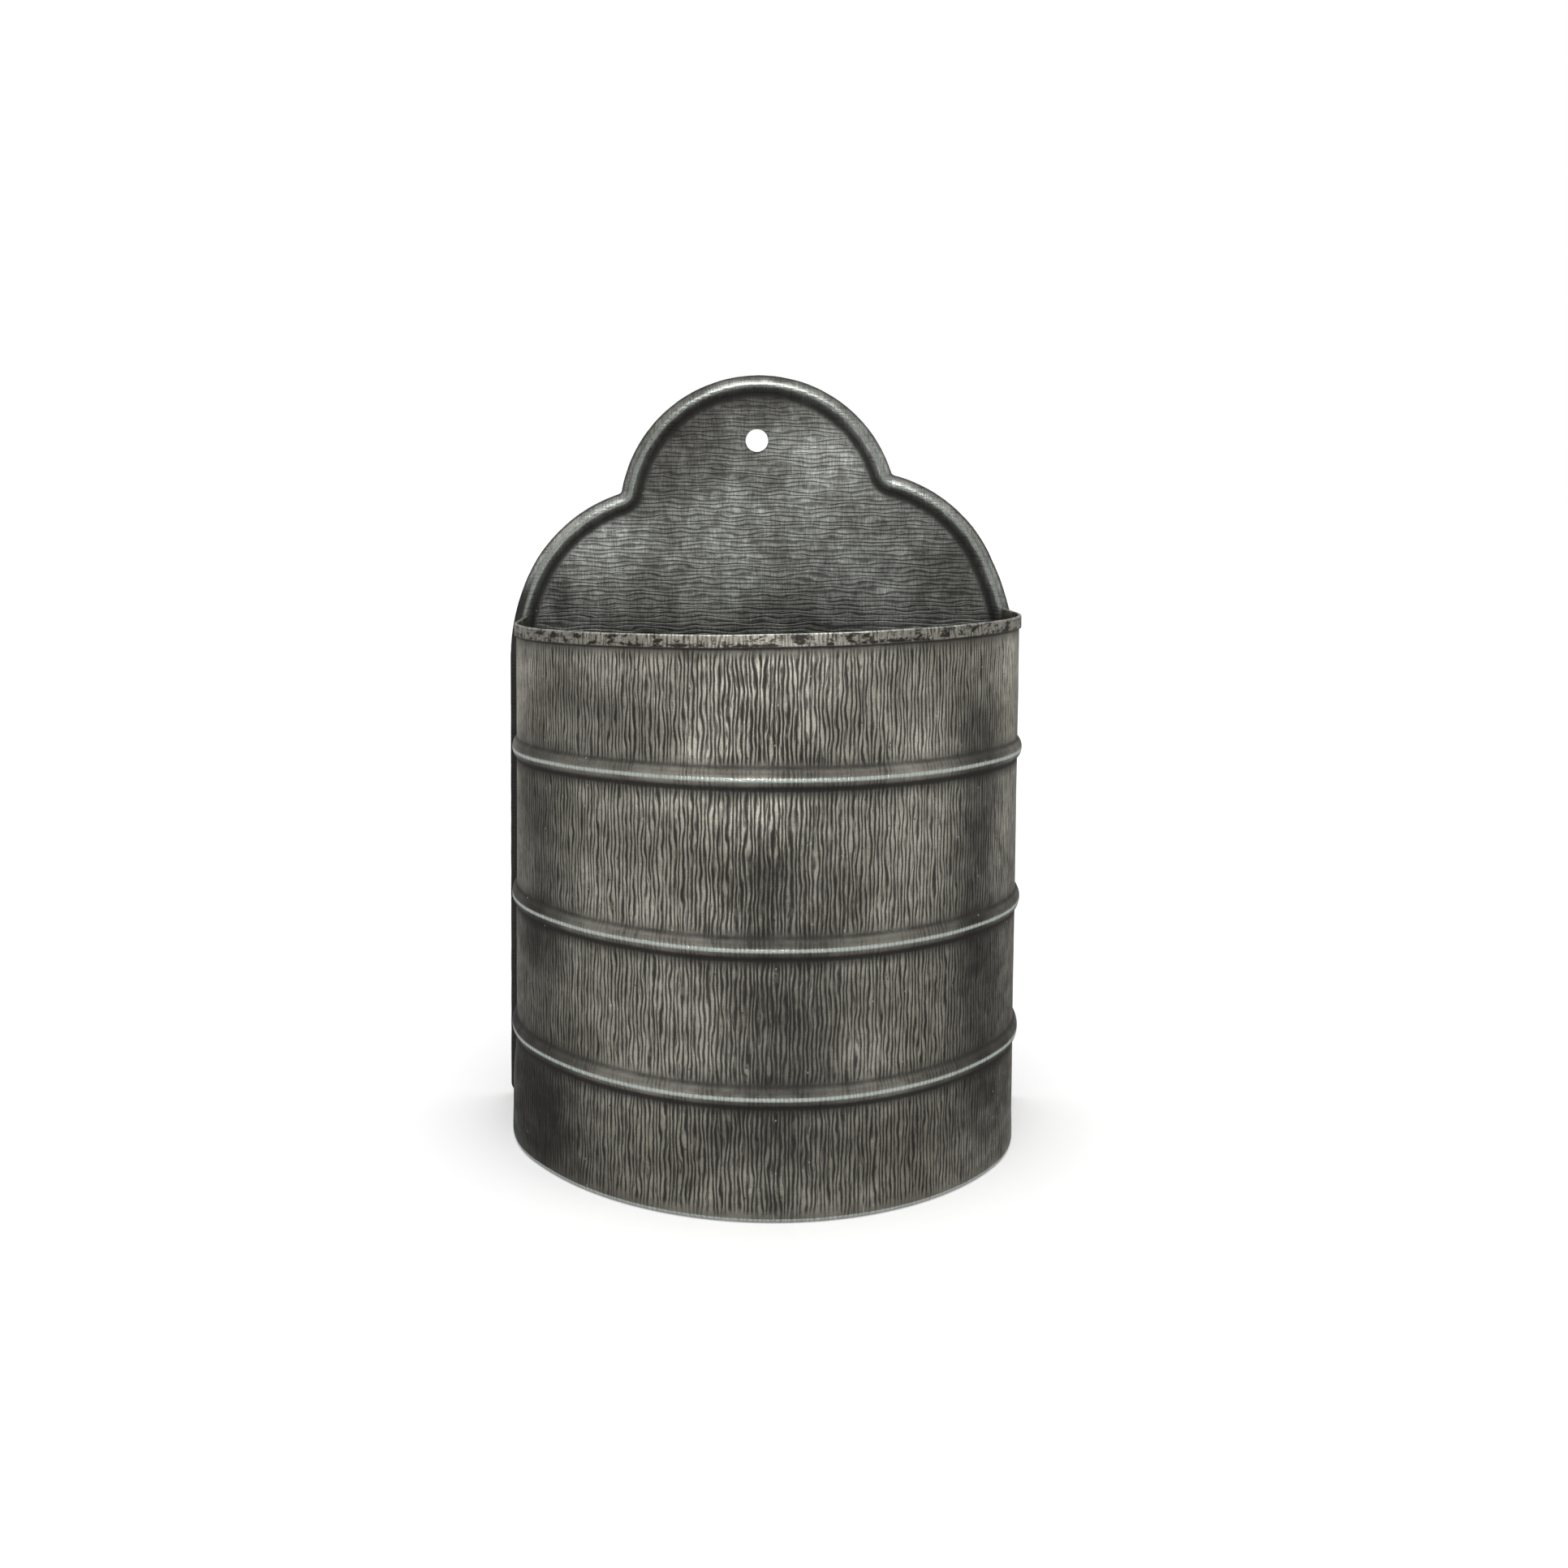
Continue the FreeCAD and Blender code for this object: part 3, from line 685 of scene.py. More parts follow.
# %% Masks of the shell
# Distances are in millimetres: heights from the base, run from the middle of the front.
on_outer = np.arange(columns) < outer_count
is_leaf = (np.arange(columns) >= leaf_start) & on_outer
wall = on_outer & ~is_leaf
from_beads = np.array([height - bead for bead in BEADS])
bead_gap = np.abs(from_beads).min(axis=0)
bead_off = np.where(np.abs(from_beads) == bead_gap, from_beads, FAR).min(axis=0)
below_bead = np.where(from_beads < 0, -from_beads, FAR).min(axis=0)
above_bead = np.where(from_beads >= 0, from_beads, FAR).min(axis=0)
under_hem = HEM_EDGE - height

# crest: the bead crests rubbed bright with a painted highlight, and a painted highlight along the
# top of the hem and the outer face of the lower fold
crest = np.where(on_outer, soft_spot(bead_off, -0.35, 0.85), 0.0)
crest = np.maximum(crest, np.where(height > RIM_HEIGHT - 0.6, 0.4, 0.0))
crest = np.maximum(crest, np.where(on_outer & (height < FOLD_RADIUS) & (out > -1.0), 0.7, 0.0))
# dirt and painted shade in the roots of the beads: below each, above it, and once more close above
# it
root = 1.15 * soft_spot(below_bead, 4.1, 1.75) + 0.85 * soft_spot(above_bead, 4.0, 1.2)
root += 0.40 * soft_spot(above_bead, 1.9, 0.9)
root = np.where(on_outer, root, 0.0)
# then dirt and painted shade under the hem, above the lower fold and behind the leaf of the hem
for place, depth in ((wall & (under_hem > -0.1), 0.9 * np.exp(-(under_hem / 1.4))),
                     (on_outer & (height > FOLD_RADIUS - 0.1), 0.5 * soft_spot(height, 4.6, 1.4)),
                     (wall & (out > -0.1) & (height > HEM_EDGE - 0.1), 1.0)):
    root += np.where(place, depth, 0.0)
clear_of_hem = np.where(is_leaf, -1.0, under_hem - 1.0)
clear_of = np.minimum(np.minimum(bead_gap - 4.0, clear_of_hem), height - 4.0)
crease = np.where(on_outer, 0.22 + 0.78 * smooth_step(clear_of, -0.5, 3.6), 0.5)
front_share = 1.0 - smooth_step(np.abs(sheet_run), 84.0, 150.0)
tone, stain = soft_patches(SHELL_PATCHES, np.repeat(sheet_run, columns), np.tile(height, rows))
nowhere = np.zeros(rows * columns)
shell_masks = {
    "crest": np.tile(crest, rows),
    "hollow": np.tile(np.clip(root, 0, 1), rows),
    "edge": nowhere,
    "crease": (crease[None, :] * (0.24 + 0.76 * front_share)[:, None]).ravel(),
    "margin_patina_and_shade": nowhere,
    "tone": np.where(np.tile(wall, rows), tone, 0.4 * tone),
    "stain": stain,
    "inside": np.tile(np.where(on_outer, 0.0, 1.0), rows),
    "hem": np.tile(np.where(is_leaf, 1.0, 0.0), rows)}
shell_uv = np.stack(np.broadcast_arrays(sheet_run[:, None], along_sheet[None, :]), -1)
shell_uv = shell_uv.reshape(-1, 2) * MM
print("masks of the shell:", *shell_masks)

# %% [markdown]
# ## Rear flanges of the shell
# The shell's rear edges are turned in and lie flat on the plate, where the solder holds them. They
# could be bent from the wall in one profile, but they stop below the border bead, so two thin
# strips that start inside the wall's thickness are simpler and look the same.

# %% Flanges, added to the shell's mesh
def strip(side):
    """Points and faces of one flange, with a rounded, slightly wavy inner edge."""
    outer_x = CENTRE_X + side * (SHELL_HALF - SHEET / 2)
    low = BASE_Z + PAN_TOP
    high = rim_z(CENTRE_X + side * SHELL_HALF) - FLANGE_RELIEF
    levels = np.linspace(low, high, 64)
    section = [(0.0, 0.0), (0.0, SHEET), (4.0, SHEET), (FLANGE_WIDTH - 0.2, SHEET),
               (FLANGE_WIDTH + 0.1, SHEET - 0.2), (FLANGE_WIDTH + 0.1, 0.1),
               (FLANGE_WIDTH - 0.1, 0.0)]
    ring, places = len(section), []
    for level in levels:
        wave = 0.2 * noise.noise(Vector((level / 14.0, 6.0 + side, 0.0))) - 0.1
        for inwards, thick in section:
            x = outer_x - side * (inwards + (wave if inwards > 5.0 else 0.0))
            places.append((x, PLATE_FRONT - thick, level))
    return np.array(places), tube_faces(len(levels), ring)


for side in (-1, 1):
    places, faces = strip(side)
    first = len(shell_points)
    shell_points = np.vstack([shell_points, places])
    shell_faces += [tuple(first + k for k in face) for face in faces]
    shell_uv = np.vstack([shell_uv, places[:, [0, 2]] * MM])
    for mask_name, values in shell_masks.items():
        fill = {"inside": 1.0, "crease": 0.5}.get(mask_name, 0.0)
        shell_masks[mask_name] = np.concatenate([values, np.full(len(places), fill)])
front_shell = sheet_piece("zinc_front_shell", shell_points, shell_faces,
                          ["front_shell"], shell_masks, shell_uv)

# %% [markdown]
# ## Floor pan
# The floor is a small sheet with its edge turned down, soldered just above the shell's lower bend.
# It follows the plan of the pocket, so loops of the same stations at shrinking offsets make the
# rounded edge, and the same triangulation as before fills the top and the underside. Handled sheet
# dishes a little in the middle, which gives the inside its soft light.

# %% Loops of the pan
PAN_GRID = 4.0
pan_path = plan_path(3.4)[0]


def pan_loop(offset):
    """Closed plan of the pan, the given distance outside the shell's face, or inside below zero."""
    side = [(x + ox * offset, min(y + oy * offset, offset)) for x, y, ox, oy, _ in pan_path]
    rear = np.linspace(side[-1][0], side[0][0], 62)[1:-1]
    return np.array(side + [(x, offset) for x in rear])


edge_out = -SHEET - PAN_CLEARANCE
pan_edge = [(edge_out - 1.0, PAN_TOP), (edge_out - 0.55, PAN_TOP - 0.11),
            (edge_out - 0.2, PAN_TOP - 0.4), (edge_out, PAN_TOP - 1.0), (edge_out, PAN_TOP - 2.6),
            (edge_out, PAN_BOTTOM + 0.2), (edge_out - 0.3, PAN_BOTTOM),
            (edge_out - SHEET, PAN_BOTTOM + 0.2), (edge_out - SHEET, PAN_TOP - 1.2),
            (edge_out - 1.0, PAN_TOP - SHEET)]
top_loop = pan_loop(pan_edge[0][0])
grid_x, grid_y = np.meshgrid(np.arange(-110, 120, PAN_GRID), np.arange(-118, 0, PAN_GRID))
grid = np.stack([grid_x.ravel(), grid_y.ravel()], -1)
grid = grid[inside_loop(grid, pan_loop(edge_out - 3.2))]
ring = len(top_loop)
pan_skin, pan_source, pan_tops = cut_skin(np.vstack([top_loop, grid]), closed_edges(0, ring),
                                          top_loop)
spots = [(x, y, 0.0) for x, y in pan_skin]
to_edge = np.min(np.linalg.norm(pan_skin[:, None] - top_loop[None, ::3], axis=2), axis=1)
dish = smooth_step(to_edge, 0.0, 30.0) * (0.35 + 0.25 * unevenness(spots, 40.0, 8.0))
print("pan", ring, "stations around,", len(pan_tops), "triangles on top")

# %% Make the floor pan
skin_count = len(pan_skin)
heights = BASE_Z + PAN_TOP - dish
pan_points = [np.column_stack([pan_skin, heights]), np.column_stack([pan_skin, heights - SHEET])]
pan_faces = [tuple(t) for t in pan_tops] + [tuple(skin_count + k for k in t) for t in pan_tops]
chain, next_index = [numbers_of(pan_source, 0, ring)], 2 * skin_count
for offset, level in pan_edge[1:-1]:
    pan_points.append(np.column_stack([pan_loop(offset), np.full(ring, BASE_Z + level)]))
    chain.append(range(next_index, next_index + ring))
    next_index += ring
chain.append([skin_count + k for k in chain[0]])
pan_faces += bands(chain)
pan_points = np.vstack(pan_points)
pan_masks = even_masks(len(pan_points), inside=0.8, crease=0.5)
# the top of the pan is darker towards its edge, in the corner against the wall: painted shade with
# some dirt
pan_masks["hollow"][:skin_count] = np.exp(-to_edge / 4.0)
floor_pan = sheet_piece("zinc_floor_pan", pan_points, pan_faces, ["floor_pan"],
                        pan_masks, pan_points[:, :2] * MM)

# %% [markdown]
# ## Solder seams
# Soft solder freezes as a lumpy fillet that thins and swells along the seam. A bevelled curve would
# be too even. Here a section of six points is carried along the seam, and slow noise changes the
# length of its two legs from point to point.

# %% Lumpy fillets
def solder_seam(where, feet, up, away, leg_up, leg_away, seed):
    """A fillet along the feet; up and away are the directions in which its two legs lie."""
    points = []
    for k, foot in enumerate(feet):
        foot, rise, reach = Vector(foot), Vector(up), Vector(away[k])
        swell = 0.86 + 0.2 * noise.noise(foot / 5.0 + Vector((seed, 0, 0)))
        swell += 0.10 * noise.noise(foot / 1.7 + Vector((0, seed, 0))) - 0.06
        points.append(foot)
        for t in (0.0, 0.28, 0.5, 0.72, 1.0):
            points.append(foot + rise * (leg_up * swell * (1 - t) ** 1.45)
                          + reach * (leg_away * swell * t ** 1.45))
    points = np.array([tuple(p) for p in points])
    return sheet_piece("solder_seam_" + where, points, tube_faces(len(feet), 6),
                       ["solder_" + where], even_masks(len(points), inside=0.3),
                       points[:, [0, 2]] * MM)


pan_top_z = BASE_Z + PAN_TOP
inner_half = SHELL_HALF - SHEET - FLANGE_WIDTH
seams = []
for side, where in ((-1, "left"), (1, "right")):
    high = rim_z(CENTRE_X + side * SHELL_HALF) - FLANGE_RELIEF
    feet = [(CENTRE_X + side * inner_half, PLATE_FRONT, z)
            for z in np.arange(pan_top_z + SOLDER_LEG, high, 1.4)]
    seams.append(solder_seam(where, feet, (0, -1, 0), [(-side, 0, 0)] * len(feet),
                             SHEET, SOLDER_LEG, 2.0 + side))
wall_in = -SHEET - 0.02
ends = PLATE_FRONT - SHEET - 0.02
around = [p for p in plan_path(1.6)[0] if p[1] <= ends]
feet = [(x + ox * wall_in, y + oy * wall_in, pan_top_z) for x, y, ox, oy, _ in around]
seams.append(solder_seam("round", feet, (0, 0, 1), [(-ox, -oy, 0) for _, _, ox, oy, _ in around],
                         SOLDER_LEG, SOLDER_LEG, 7.0))
feet = [(x, PLATE_FRONT, pan_top_z)
        for x in np.arange(CENTRE_X - inner_half, CENTRE_X + inner_half, 1.6)]
seams.append(solder_seam("back", feet, (0, 0, 1), [(0, -1, 0)] * len(feet),
                         SOLDER_LEG, SOLDER_LEG, 9.0))

# %% [markdown]
# ## Building blocks for the surface
# Each effect of aged zinc (creases, clouds, grain, wear with painted highlight and shade, marks) is
# a node group that gives masks only, so the same effect serves every sheet with its own values. The
# alternative, one long node tree per material, would repeat each effect and drift apart. The small
# class below keeps the node calls short. "Sheet" is the map along the metal, in metres: X across
# the creases, Y along them.

# %% Node board
class Board:
    """A node tree with short calls; an input is a number, a tuple or another node's output."""

    def __init__(self, tree):
        self.tree = tree

    def put(self, kind, inputs=None, **settings):
        node = self.tree.nodes.new(kind)
        for key, value in settings.items():
            setattr(node, key, value)
        for key, value in (inputs or {}).items():
            if isinstance(value, bpy.types.NodeSocket):
                self.tree.links.new(value, node.inputs[key])
            else:
                node.inputs[key].default_value = value
        return node

    def math(self, operation, a, b=0.0):
        return self.put("ShaderNodeMath", {0: a, 1: b}, operation=operation).outputs[0]

    def plus(self, a, b):
        return self.math("ADD", a, b)

    def minus(self, a, b):
        return self.math("SUBTRACT", a, b)

    def over(self, a, b):
        return self.math("DIVIDE", a, b)

    def times(self, first, *rest):
        """The product of two or more values."""
        return self.math("MULTIPLY", first, rest[0] if len(rest) == 1 else self.times(*rest))

    def larger(self, first, *rest):
        """The largest of two or more values."""
        return self.math("MAXIMUM", first, rest[0] if len(rest) == 1 else self.larger(*rest))

    def swing(self, value, amount):
        """Noise of 0 to 1 as a swing around zero."""
        return self.times(self.minus(value, 0.5), amount)

    def ramp(self, value, low, high, to_low=0.0, to_high=1.0):
        """Smooth step of a value from low to high; low may be above high."""
        return self.put("ShaderNodeMapRange", {"Value": value, "From Min": low, "From Max": high,
                                               "To Min": to_low, "To Max": to_high},
                        interpolation_type="SMOOTHSTEP").outputs["Result"]

    def place(self, u, v, w=0.0):
        return self.put("ShaderNodeCombineXYZ", {0: u, 1: v, 2: w}).outputs[0]

    def noise(self, vector, detail=2.0, roughness=0.5, scale=1.0):
        return self.put("ShaderNodeTexNoise", {"Vector": vector, "Scale": scale, "Detail": detail,
                                               "Roughness": roughness}).outputs["Fac"]

    def blend(self, factor, a, b):
        return self.put("ShaderNodeMix", {0: factor, 2: a, 3: b}).outputs[0]

    def tint(self, factor, a, b):
        """Mix two colours."""
        a, b = [c if isinstance(c, bpy.types.NodeSocket) else (*c, 1.0) for c in (a, b)]
        return self.put("ShaderNodeMix", {0: factor, 6: a, 7: b}, data_type="RGBA").outputs[2]

    def lit(self, colour, factor):
        """A colour made lighter or darker by a factor."""
        node = self.put("ShaderNodeVectorMath", {0: colour, 3: factor}, operation="SCALE")
        return node.outputs[0]


class EffectGroup(Board):
    """A shader node group with named inputs, given as name: default, and named outputs."""

    def __init__(self, name, inputs, outputs):
        super().__init__(bpy.data.node_groups.new(name, "ShaderNodeTree"))
        sockets = self.tree.interface
        sockets.new_socket("Sheet", in_out="INPUT", socket_type="NodeSocketVector")
        for label, value in inputs.items():
            socket = sockets.new_socket(label, in_out="INPUT", socket_type="NodeSocketFloat")
            socket.default_value = value
        for label in outputs:
            sockets.new_socket(label, in_out="OUTPUT", socket_type="NodeSocketFloat")
        self.entry = self.tree.nodes.new("NodeGroupInput")
        self.exit = self.tree.nodes.new("NodeGroupOutput")
        parts = self.put("ShaderNodeSeparateXYZ", {0: self.given("Sheet")})
        self.u, self.v = parts.outputs[0], parts.outputs[1]

    def given(self, label):
        return self.entry.outputs[label]

    def give(self, **outputs):
        for label, socket in outputs.items():
            self.tree.links.new(socket, self.exit.inputs[label])
        print("group", self.tree.name, len(self.tree.nodes), "nodes")

    def divided(self, across, along, seed=0.0):
        """The sheet map in units of two sizes, which may be numbers or sockets."""
        return self.place(self.over(self.u, across), self.over(self.v, along), seed)


# %% [markdown]
# ### Creases
# The zinc was crinkled between rolls: thin dark grooves run along the sheet a little under two
# millimetres apart, waver, pinch together and part again, with a ridge beside each that the
# material makes paler as a painted highlight. Cells of a stretched cell pattern give forks, but
# their short ends line up in bands. Counting the lines instead works better: one value grows by one
# per spacing, noise bends it (a quick zigzag, a slow sway and a pinch that is strong enough to make
# lines meet), and each whole number is a groove.
# Every line has its own noise along its length, which fades it in and out in dashes. Hair lines,
# nearly twice as close, fill the gaps here and there.

# %% Group: crinkle creases
creases = EffectGroup("crinkle creases",
                      {"Spacing": 0.002, "Length": 5.0, "Waver": 0.0005, "Width": 0.25,
                       "Pinch": 1.6, "Seed": 0.0}, ("Groove", "Ridge", "Height"))
g, seed, spacing = creases, creases.given("Seed"), creases.given("Spacing")
LINE_APART = 3.7
HAIR_DENSITY = 1.9

zigzag = g.swing(g.noise(g.divided(0.0042, 0.0030, seed), 1.0), 1.7)
sway = g.swing(g.noise(g.divided(0.016, 0.018, seed), 1.0), 4.0)
bent = g.plus(g.u, g.times(g.plus(zigzag, sway), g.given("Waver")))
reach = g.times(spacing, g.given("Length"))
dash_size = g.times(reach, 0.65)
pinch = g.swing(g.noise(g.divided(g.times(spacing, 2.0), reach, seed), 1.0), g.given("Pinch"))
count = g.plus(g.over(bent, spacing), pinch)


def line_set(count, width, fades, strengths, offset):
    """Distance from the nearest line, in spacings, and the dark line itself, broken into dashes."""
    whole = g.math("ROUND", count)
    gap = g.math("ABSOLUTE", g.minus(count, whole))
    own = g.place(g.times(whole, LINE_APART), g.over(g.v, dash_size), g.plus(seed, offset))
    dash = g.ramp(g.noise(own, 2.0, 0.6), *fades, *strengths)
    return gap, g.times(g.ramp(gap, width, 0.06), dash)


gap, main_line = line_set(count, g.given("Width"), (0.30, 0.48), (0.35, 1.0), 0.0)
finer = g.plus(g.times(count, HAIR_DENSITY),
               g.swing(g.noise(g.divided(0.0026, dash_size, 5.0), 1.0), 1.6))
_, hair_line = line_set(finer, 0.26, (0.46, 0.64), (0.0, 0.7), 9.0)
groove = g.larger(main_line, hair_line)
ridge = g.times(g.ramp(gap, 0.16, 0.34), g.minus(1.0, groove))
g.give(Groove=groove, Ridge=ridge, Height=g.minus(g.times(ridge, 0.5), groove))

# %% [markdown]
# ### Clouds, grain, wear, painted light and marks
# Patina is cloudy at the size of a hand and mottled at the size of a fingertip. Up close the skin
# of the metal is grainy, with a faint cross grain. Handling rubs the high places bright and leaves
# dirt in the low ones, and the same masks paint a highlight on the high places and shade into the
# low ones: those places come from the masks on the points. Pits, flecks and scratches
# are rare, so they come from a pattern of large cells, most of which stay empty.

# %% Group: patina clouds
clouds = EffectGroup("patina clouds", {"Size": 0.03, "Stretch": 1.0, "Seed": 0.0},
                     ("Cloud", "Mottle", "Stain"))
g = clouds
size = g.given("Size")
spread = g.divided(size, g.times(size, g.given("Stretch")), g.given("Seed"))
g.give(Cloud=g.ramp(g.noise(spread, 4.0, 0.55), 0.30, 0.70),
       Mottle=g.ramp(g.noise(spread, 5.0, 0.62, 5.0), 0.30, 0.70),
       Stain=g.ramp(g.noise(spread, 4.0, 0.6, 0.8), 0.50, 0.70))

# %% Group: fine grain
grain = EffectGroup("fine grain", {"Size": 0.0005}, ("Grain", "Weave", "Height"))
g, size = grain, grain.given("Size")
speckle = g.ramp(g.noise(g.divided(size, size), 2.0, 0.6), 0.28, 0.72)
thread = g.divided(g.times(size, 9.0), g.times(size, 1.1), 4.0)
weave = g.ramp(g.noise(thread, 3.0, 0.6), 0.30, 0.70)
g.give(Grain=speckle, Weave=weave, Height=g.plus(g.times(speckle, 0.5), weave))

# %% Group: wear and painted highlight, dirt and painted shade
worn_and_highlit = EffectGroup("worn and dirty", {"Crest": 0.0, "Hollow": 0.0}, ("Rub", "Grime"))
g = worn_and_highlit
quick = g.noise(g.divided(0.0016, 0.0016), 3.0, 0.6)
slow = g.noise(g.divided(0.014, 0.014, 2.0), 2.0)
# the crest mask gives rubbed bright metal and, with it, a painted highlight
crest_rub_and_highlight = g.times(g.given("Crest"), g.plus(0.35, g.plus(quick, g.times(slow, 0.4))))
# the hollow mask gives dirt and, with it, painted shade
hollow_dirt_and_shade = g.times(g.given("Hollow"), g.plus(0.55, g.times(g.plus(quick, slow), 0.5)))
g.give(Rub=g.ramp(crest_rub_and_highlight, 0.18, 0.95), Grime=g.math("MINIMUM", hollow_dirt_and_shade, 1.0))

# %% Group: pits and scratches
marks = EffectGroup("pits and scratches", {"Seed": 0.0}, ("Pit", "Fleck", "Scratch"))
g, seed = marks, marks.given("Seed")


def rare_mark(cell, width, length, share, offset):
    """One short mark in some of the cells of a stretched cell pattern.

    The cell's two sizes are in metres; width and length are parts of the cell."""
    spread = g.place(g.plus(g.over(g.u, cell[0]), g.plus(seed, offset)), g.over(g.v, cell[1]))
    cells = g.put("ShaderNodeTexVoronoi", {"Vector": spread, "Scale": 1.0, "Randomness": 0.9},
                  voronoi_dimensions="2D", feature="F1")
    local = g.put("ShaderNodeVectorMath", {0: spread, 1: cells.outputs["Position"]},
                  operation="SUBTRACT")
    parts = g.put("ShaderNodeSeparateXYZ", {0: local.outputs[0]})
    chance = g.put("ShaderNodeSeparateColor", {0: cells.outputs["Color"]})
    tilt = g.swing(chance.outputs[1], 0.5)
    sideways = g.minus(parts.outputs[0], g.times(tilt, parts.outputs[1]))
    beside = g.ramp(g.math("ABSOLUTE", sideways), width, 0.3 * width)
    within = g.ramp(g.math("ABSOLUTE", parts.outputs[1]), length, 0.6 * length)
    present = g.math("LESS_THAN", chance.outputs[0], share)
    return g.times(present, beside, within)


g.give(Pit=rare_mark((0.011, 0.013), width=0.042, length=0.035, share=0.22, offset=0.0),
       Fleck=rare_mark((0.013, 0.012), width=0.030, length=0.034, share=0.18, offset=31.0),
       Scratch=rare_mark((0.034, 0.060), width=0.007, length=0.11, share=0.14, offset=67.0))

# %% [markdown]
# ## The zinc
# One recipe makes every sheet, with its own look: a mottled grey base, patches of patina and of
# painted light and shade, dark grooves with ridges lightened as a painted highlight, dirt and
# painted shade in the hollows, on the margin and along the sheared edge, bright rubbed crests with
# a painted highlight, then the marks. Dirt is not metal, so the Metallic socket falls where the
# dirt and the painted shade lie. The rear and the inside are duller.

# %% Recipe for aged zinc
# near-black of the dark patina in the grooves, of dirt and pits, and of the painted shade in the
# hollows, on the margin and along the sheared edge
GRIME_AND_SHADE = (0.011, 0.0095, 0.0078)
STAIN = (0.085, 0.066, 0.048)
METALLIC_IN_DIRT_AND_SHADE = 0.15
ROUGH_IN_DIRT_AND_SHADE = 0.72
SMOOTHER_WHERE_RUBBED = 0.27
INSIDE_BRIGHTNESS = 0.55


def zinc_sheet(name, look):
    """Aged zinc with one look; a look without a hem leaves the blotched rim out."""
    material = bpy.data.materials.new(name)
    material.use_nodes = True
    shader = material.node_tree.nodes["Principled BSDF"]
    b = Board(material.node_tree)
    sheet = b.put("ShaderNodeUVMap", uv_map="sheet").outputs["UV"]

    def mask(label):
        return b.put("ShaderNodeAttribute", attribute_name=label).outputs["Fac"]

    def effect(group, **values):
        return b.put("ShaderNodeGroup", {"Sheet": sheet, **values}, node_tree=group.tree).outputs

    def speckled(detail, *scale):
        """Noise on a stretched map of the sheet; the scale counts spots per metre."""
        stretched = b.put("ShaderNodeMapping", {"Vector": sheet, "Scale": (*scale, 1)})
        return b.noise(stretched.outputs[0], *detail)

    def varied(colour, value, amount):
        """A colour that a mask makes lighter or darker by up to the given share."""
        return b.lit(colour, b.blend(value, 1.0 - amount, 1.0 + amount))

    crinkle = effect(creases, **{key.title(): look[key] for key in (
        "spacing", "length", "waver", "width", "pinch", "seed")})
    cloud = effect(clouds, Size=look["cloud_size"], Stretch=look["cloud_stretch"],
                   Seed=look["seed"])
    skin = effect(grain, Size=look["grain_size"])
    wear_and_light = effect(worn_and_highlit, Crest=mask("crest"), Hollow=mask("hollow"))
    mark = effect(marks, Seed=look["seed"])

    ragged = b.plus(mask("crease"), b.swing(cloud["Mottle"], 0.45))
    creased = b.times(b.ramp(ragged, 0.0, 0.85), b.blend(cloud["Cloud"], 1.0, 0.85))
    colour = b.tint(cloud["Cloud"], look["mid"], look["light"])
    colour = b.tint(b.times(cloud["Mottle"], look["mottle"]), colour, look["dark"])
    browned = b.times(mask("stain"), b.blend(cloud["Mottle"], 0.5, 1.0))
    browned = b.larger(browned, b.times(cloud["Stain"], look["stains"]))
    colour = b.tint(browned, colour, STAIN)
    patch = b.plus(mask("tone"), b.swing(cloud["Cloud"], 0.16))
    colour = b.lit(colour, b.larger(b.plus(1.0, patch), 0.10))
    if look["hem"]:
        blotch = b.ramp(speckled((4.0, 0.65), 150, 320), 0.48, 0.58)
        ticks = b.ramp(speckled((2.0,), 900, 160), 0.50, 0.64)
        dark = b.larger(b.times(blotch, 0.95), b.times(ticks, 0.85))
        rolled = b.tint(dark, look["hem"], look["hem_dark"])
        colour = b.tint(mask("hem"), colour, rolled)
    deep = b.times(crinkle["Groove"], creased, look["groove"])
    # the ridge beside each groove is made lighter: a painted highlight
    colour = b.lit(colour, b.plus(1.0, b.times(crinkle["Ridge"], creased, look["ridge"])))
    colour = varied(colour, skin["Grain"], look["grain"])
    colour = varied(colour, skin["Weave"], look["weave"])
    colour = b.tint(deep, colour, GRIME_AND_SHADE)
    # dirt and painted shade together: the hollow mask, the dark margin beside the shell and the
    # dark sheared edge
    dirty_and_shaded = b.larger(wear_and_light["Grime"], mask("margin_patina_and_shade"), b.times(mask("edge"), 0.9))
    colour = b.tint(b.times(dirty_and_shaded, look["grime_and_shade_share"]), colour, GRIME_AND_SHADE)
    # rubbed bright crests with a painted highlight in pale mint on them
    rub_and_highlight = b.times(wear_and_light["Rub"], b.minus(1.0, b.times(dirty_and_shaded, 0.8)))
    ticked = b.minus(1.0, b.times(crinkle["Groove"], 0.45))
    colour = b.tint(b.times(rub_and_highlight, ticked, look["rub_and_highlight"]), colour, look["bright"])
    colour = b.tint(b.times(mark["Pit"], look["marks"]), colour, GRIME_AND_SHADE)
    pale = b.larger(mark["Fleck"], mark["Scratch"])
    colour = b.tint(b.times(pale, 0.55 * look["marks"]), colour, look["bright"])
    colour = b.lit(colour, b.blend(mask("inside"), 1.0, INSIDE_BRIGHTNESS))
    b.tree.links.new(colour, shader.inputs["Base Color"])

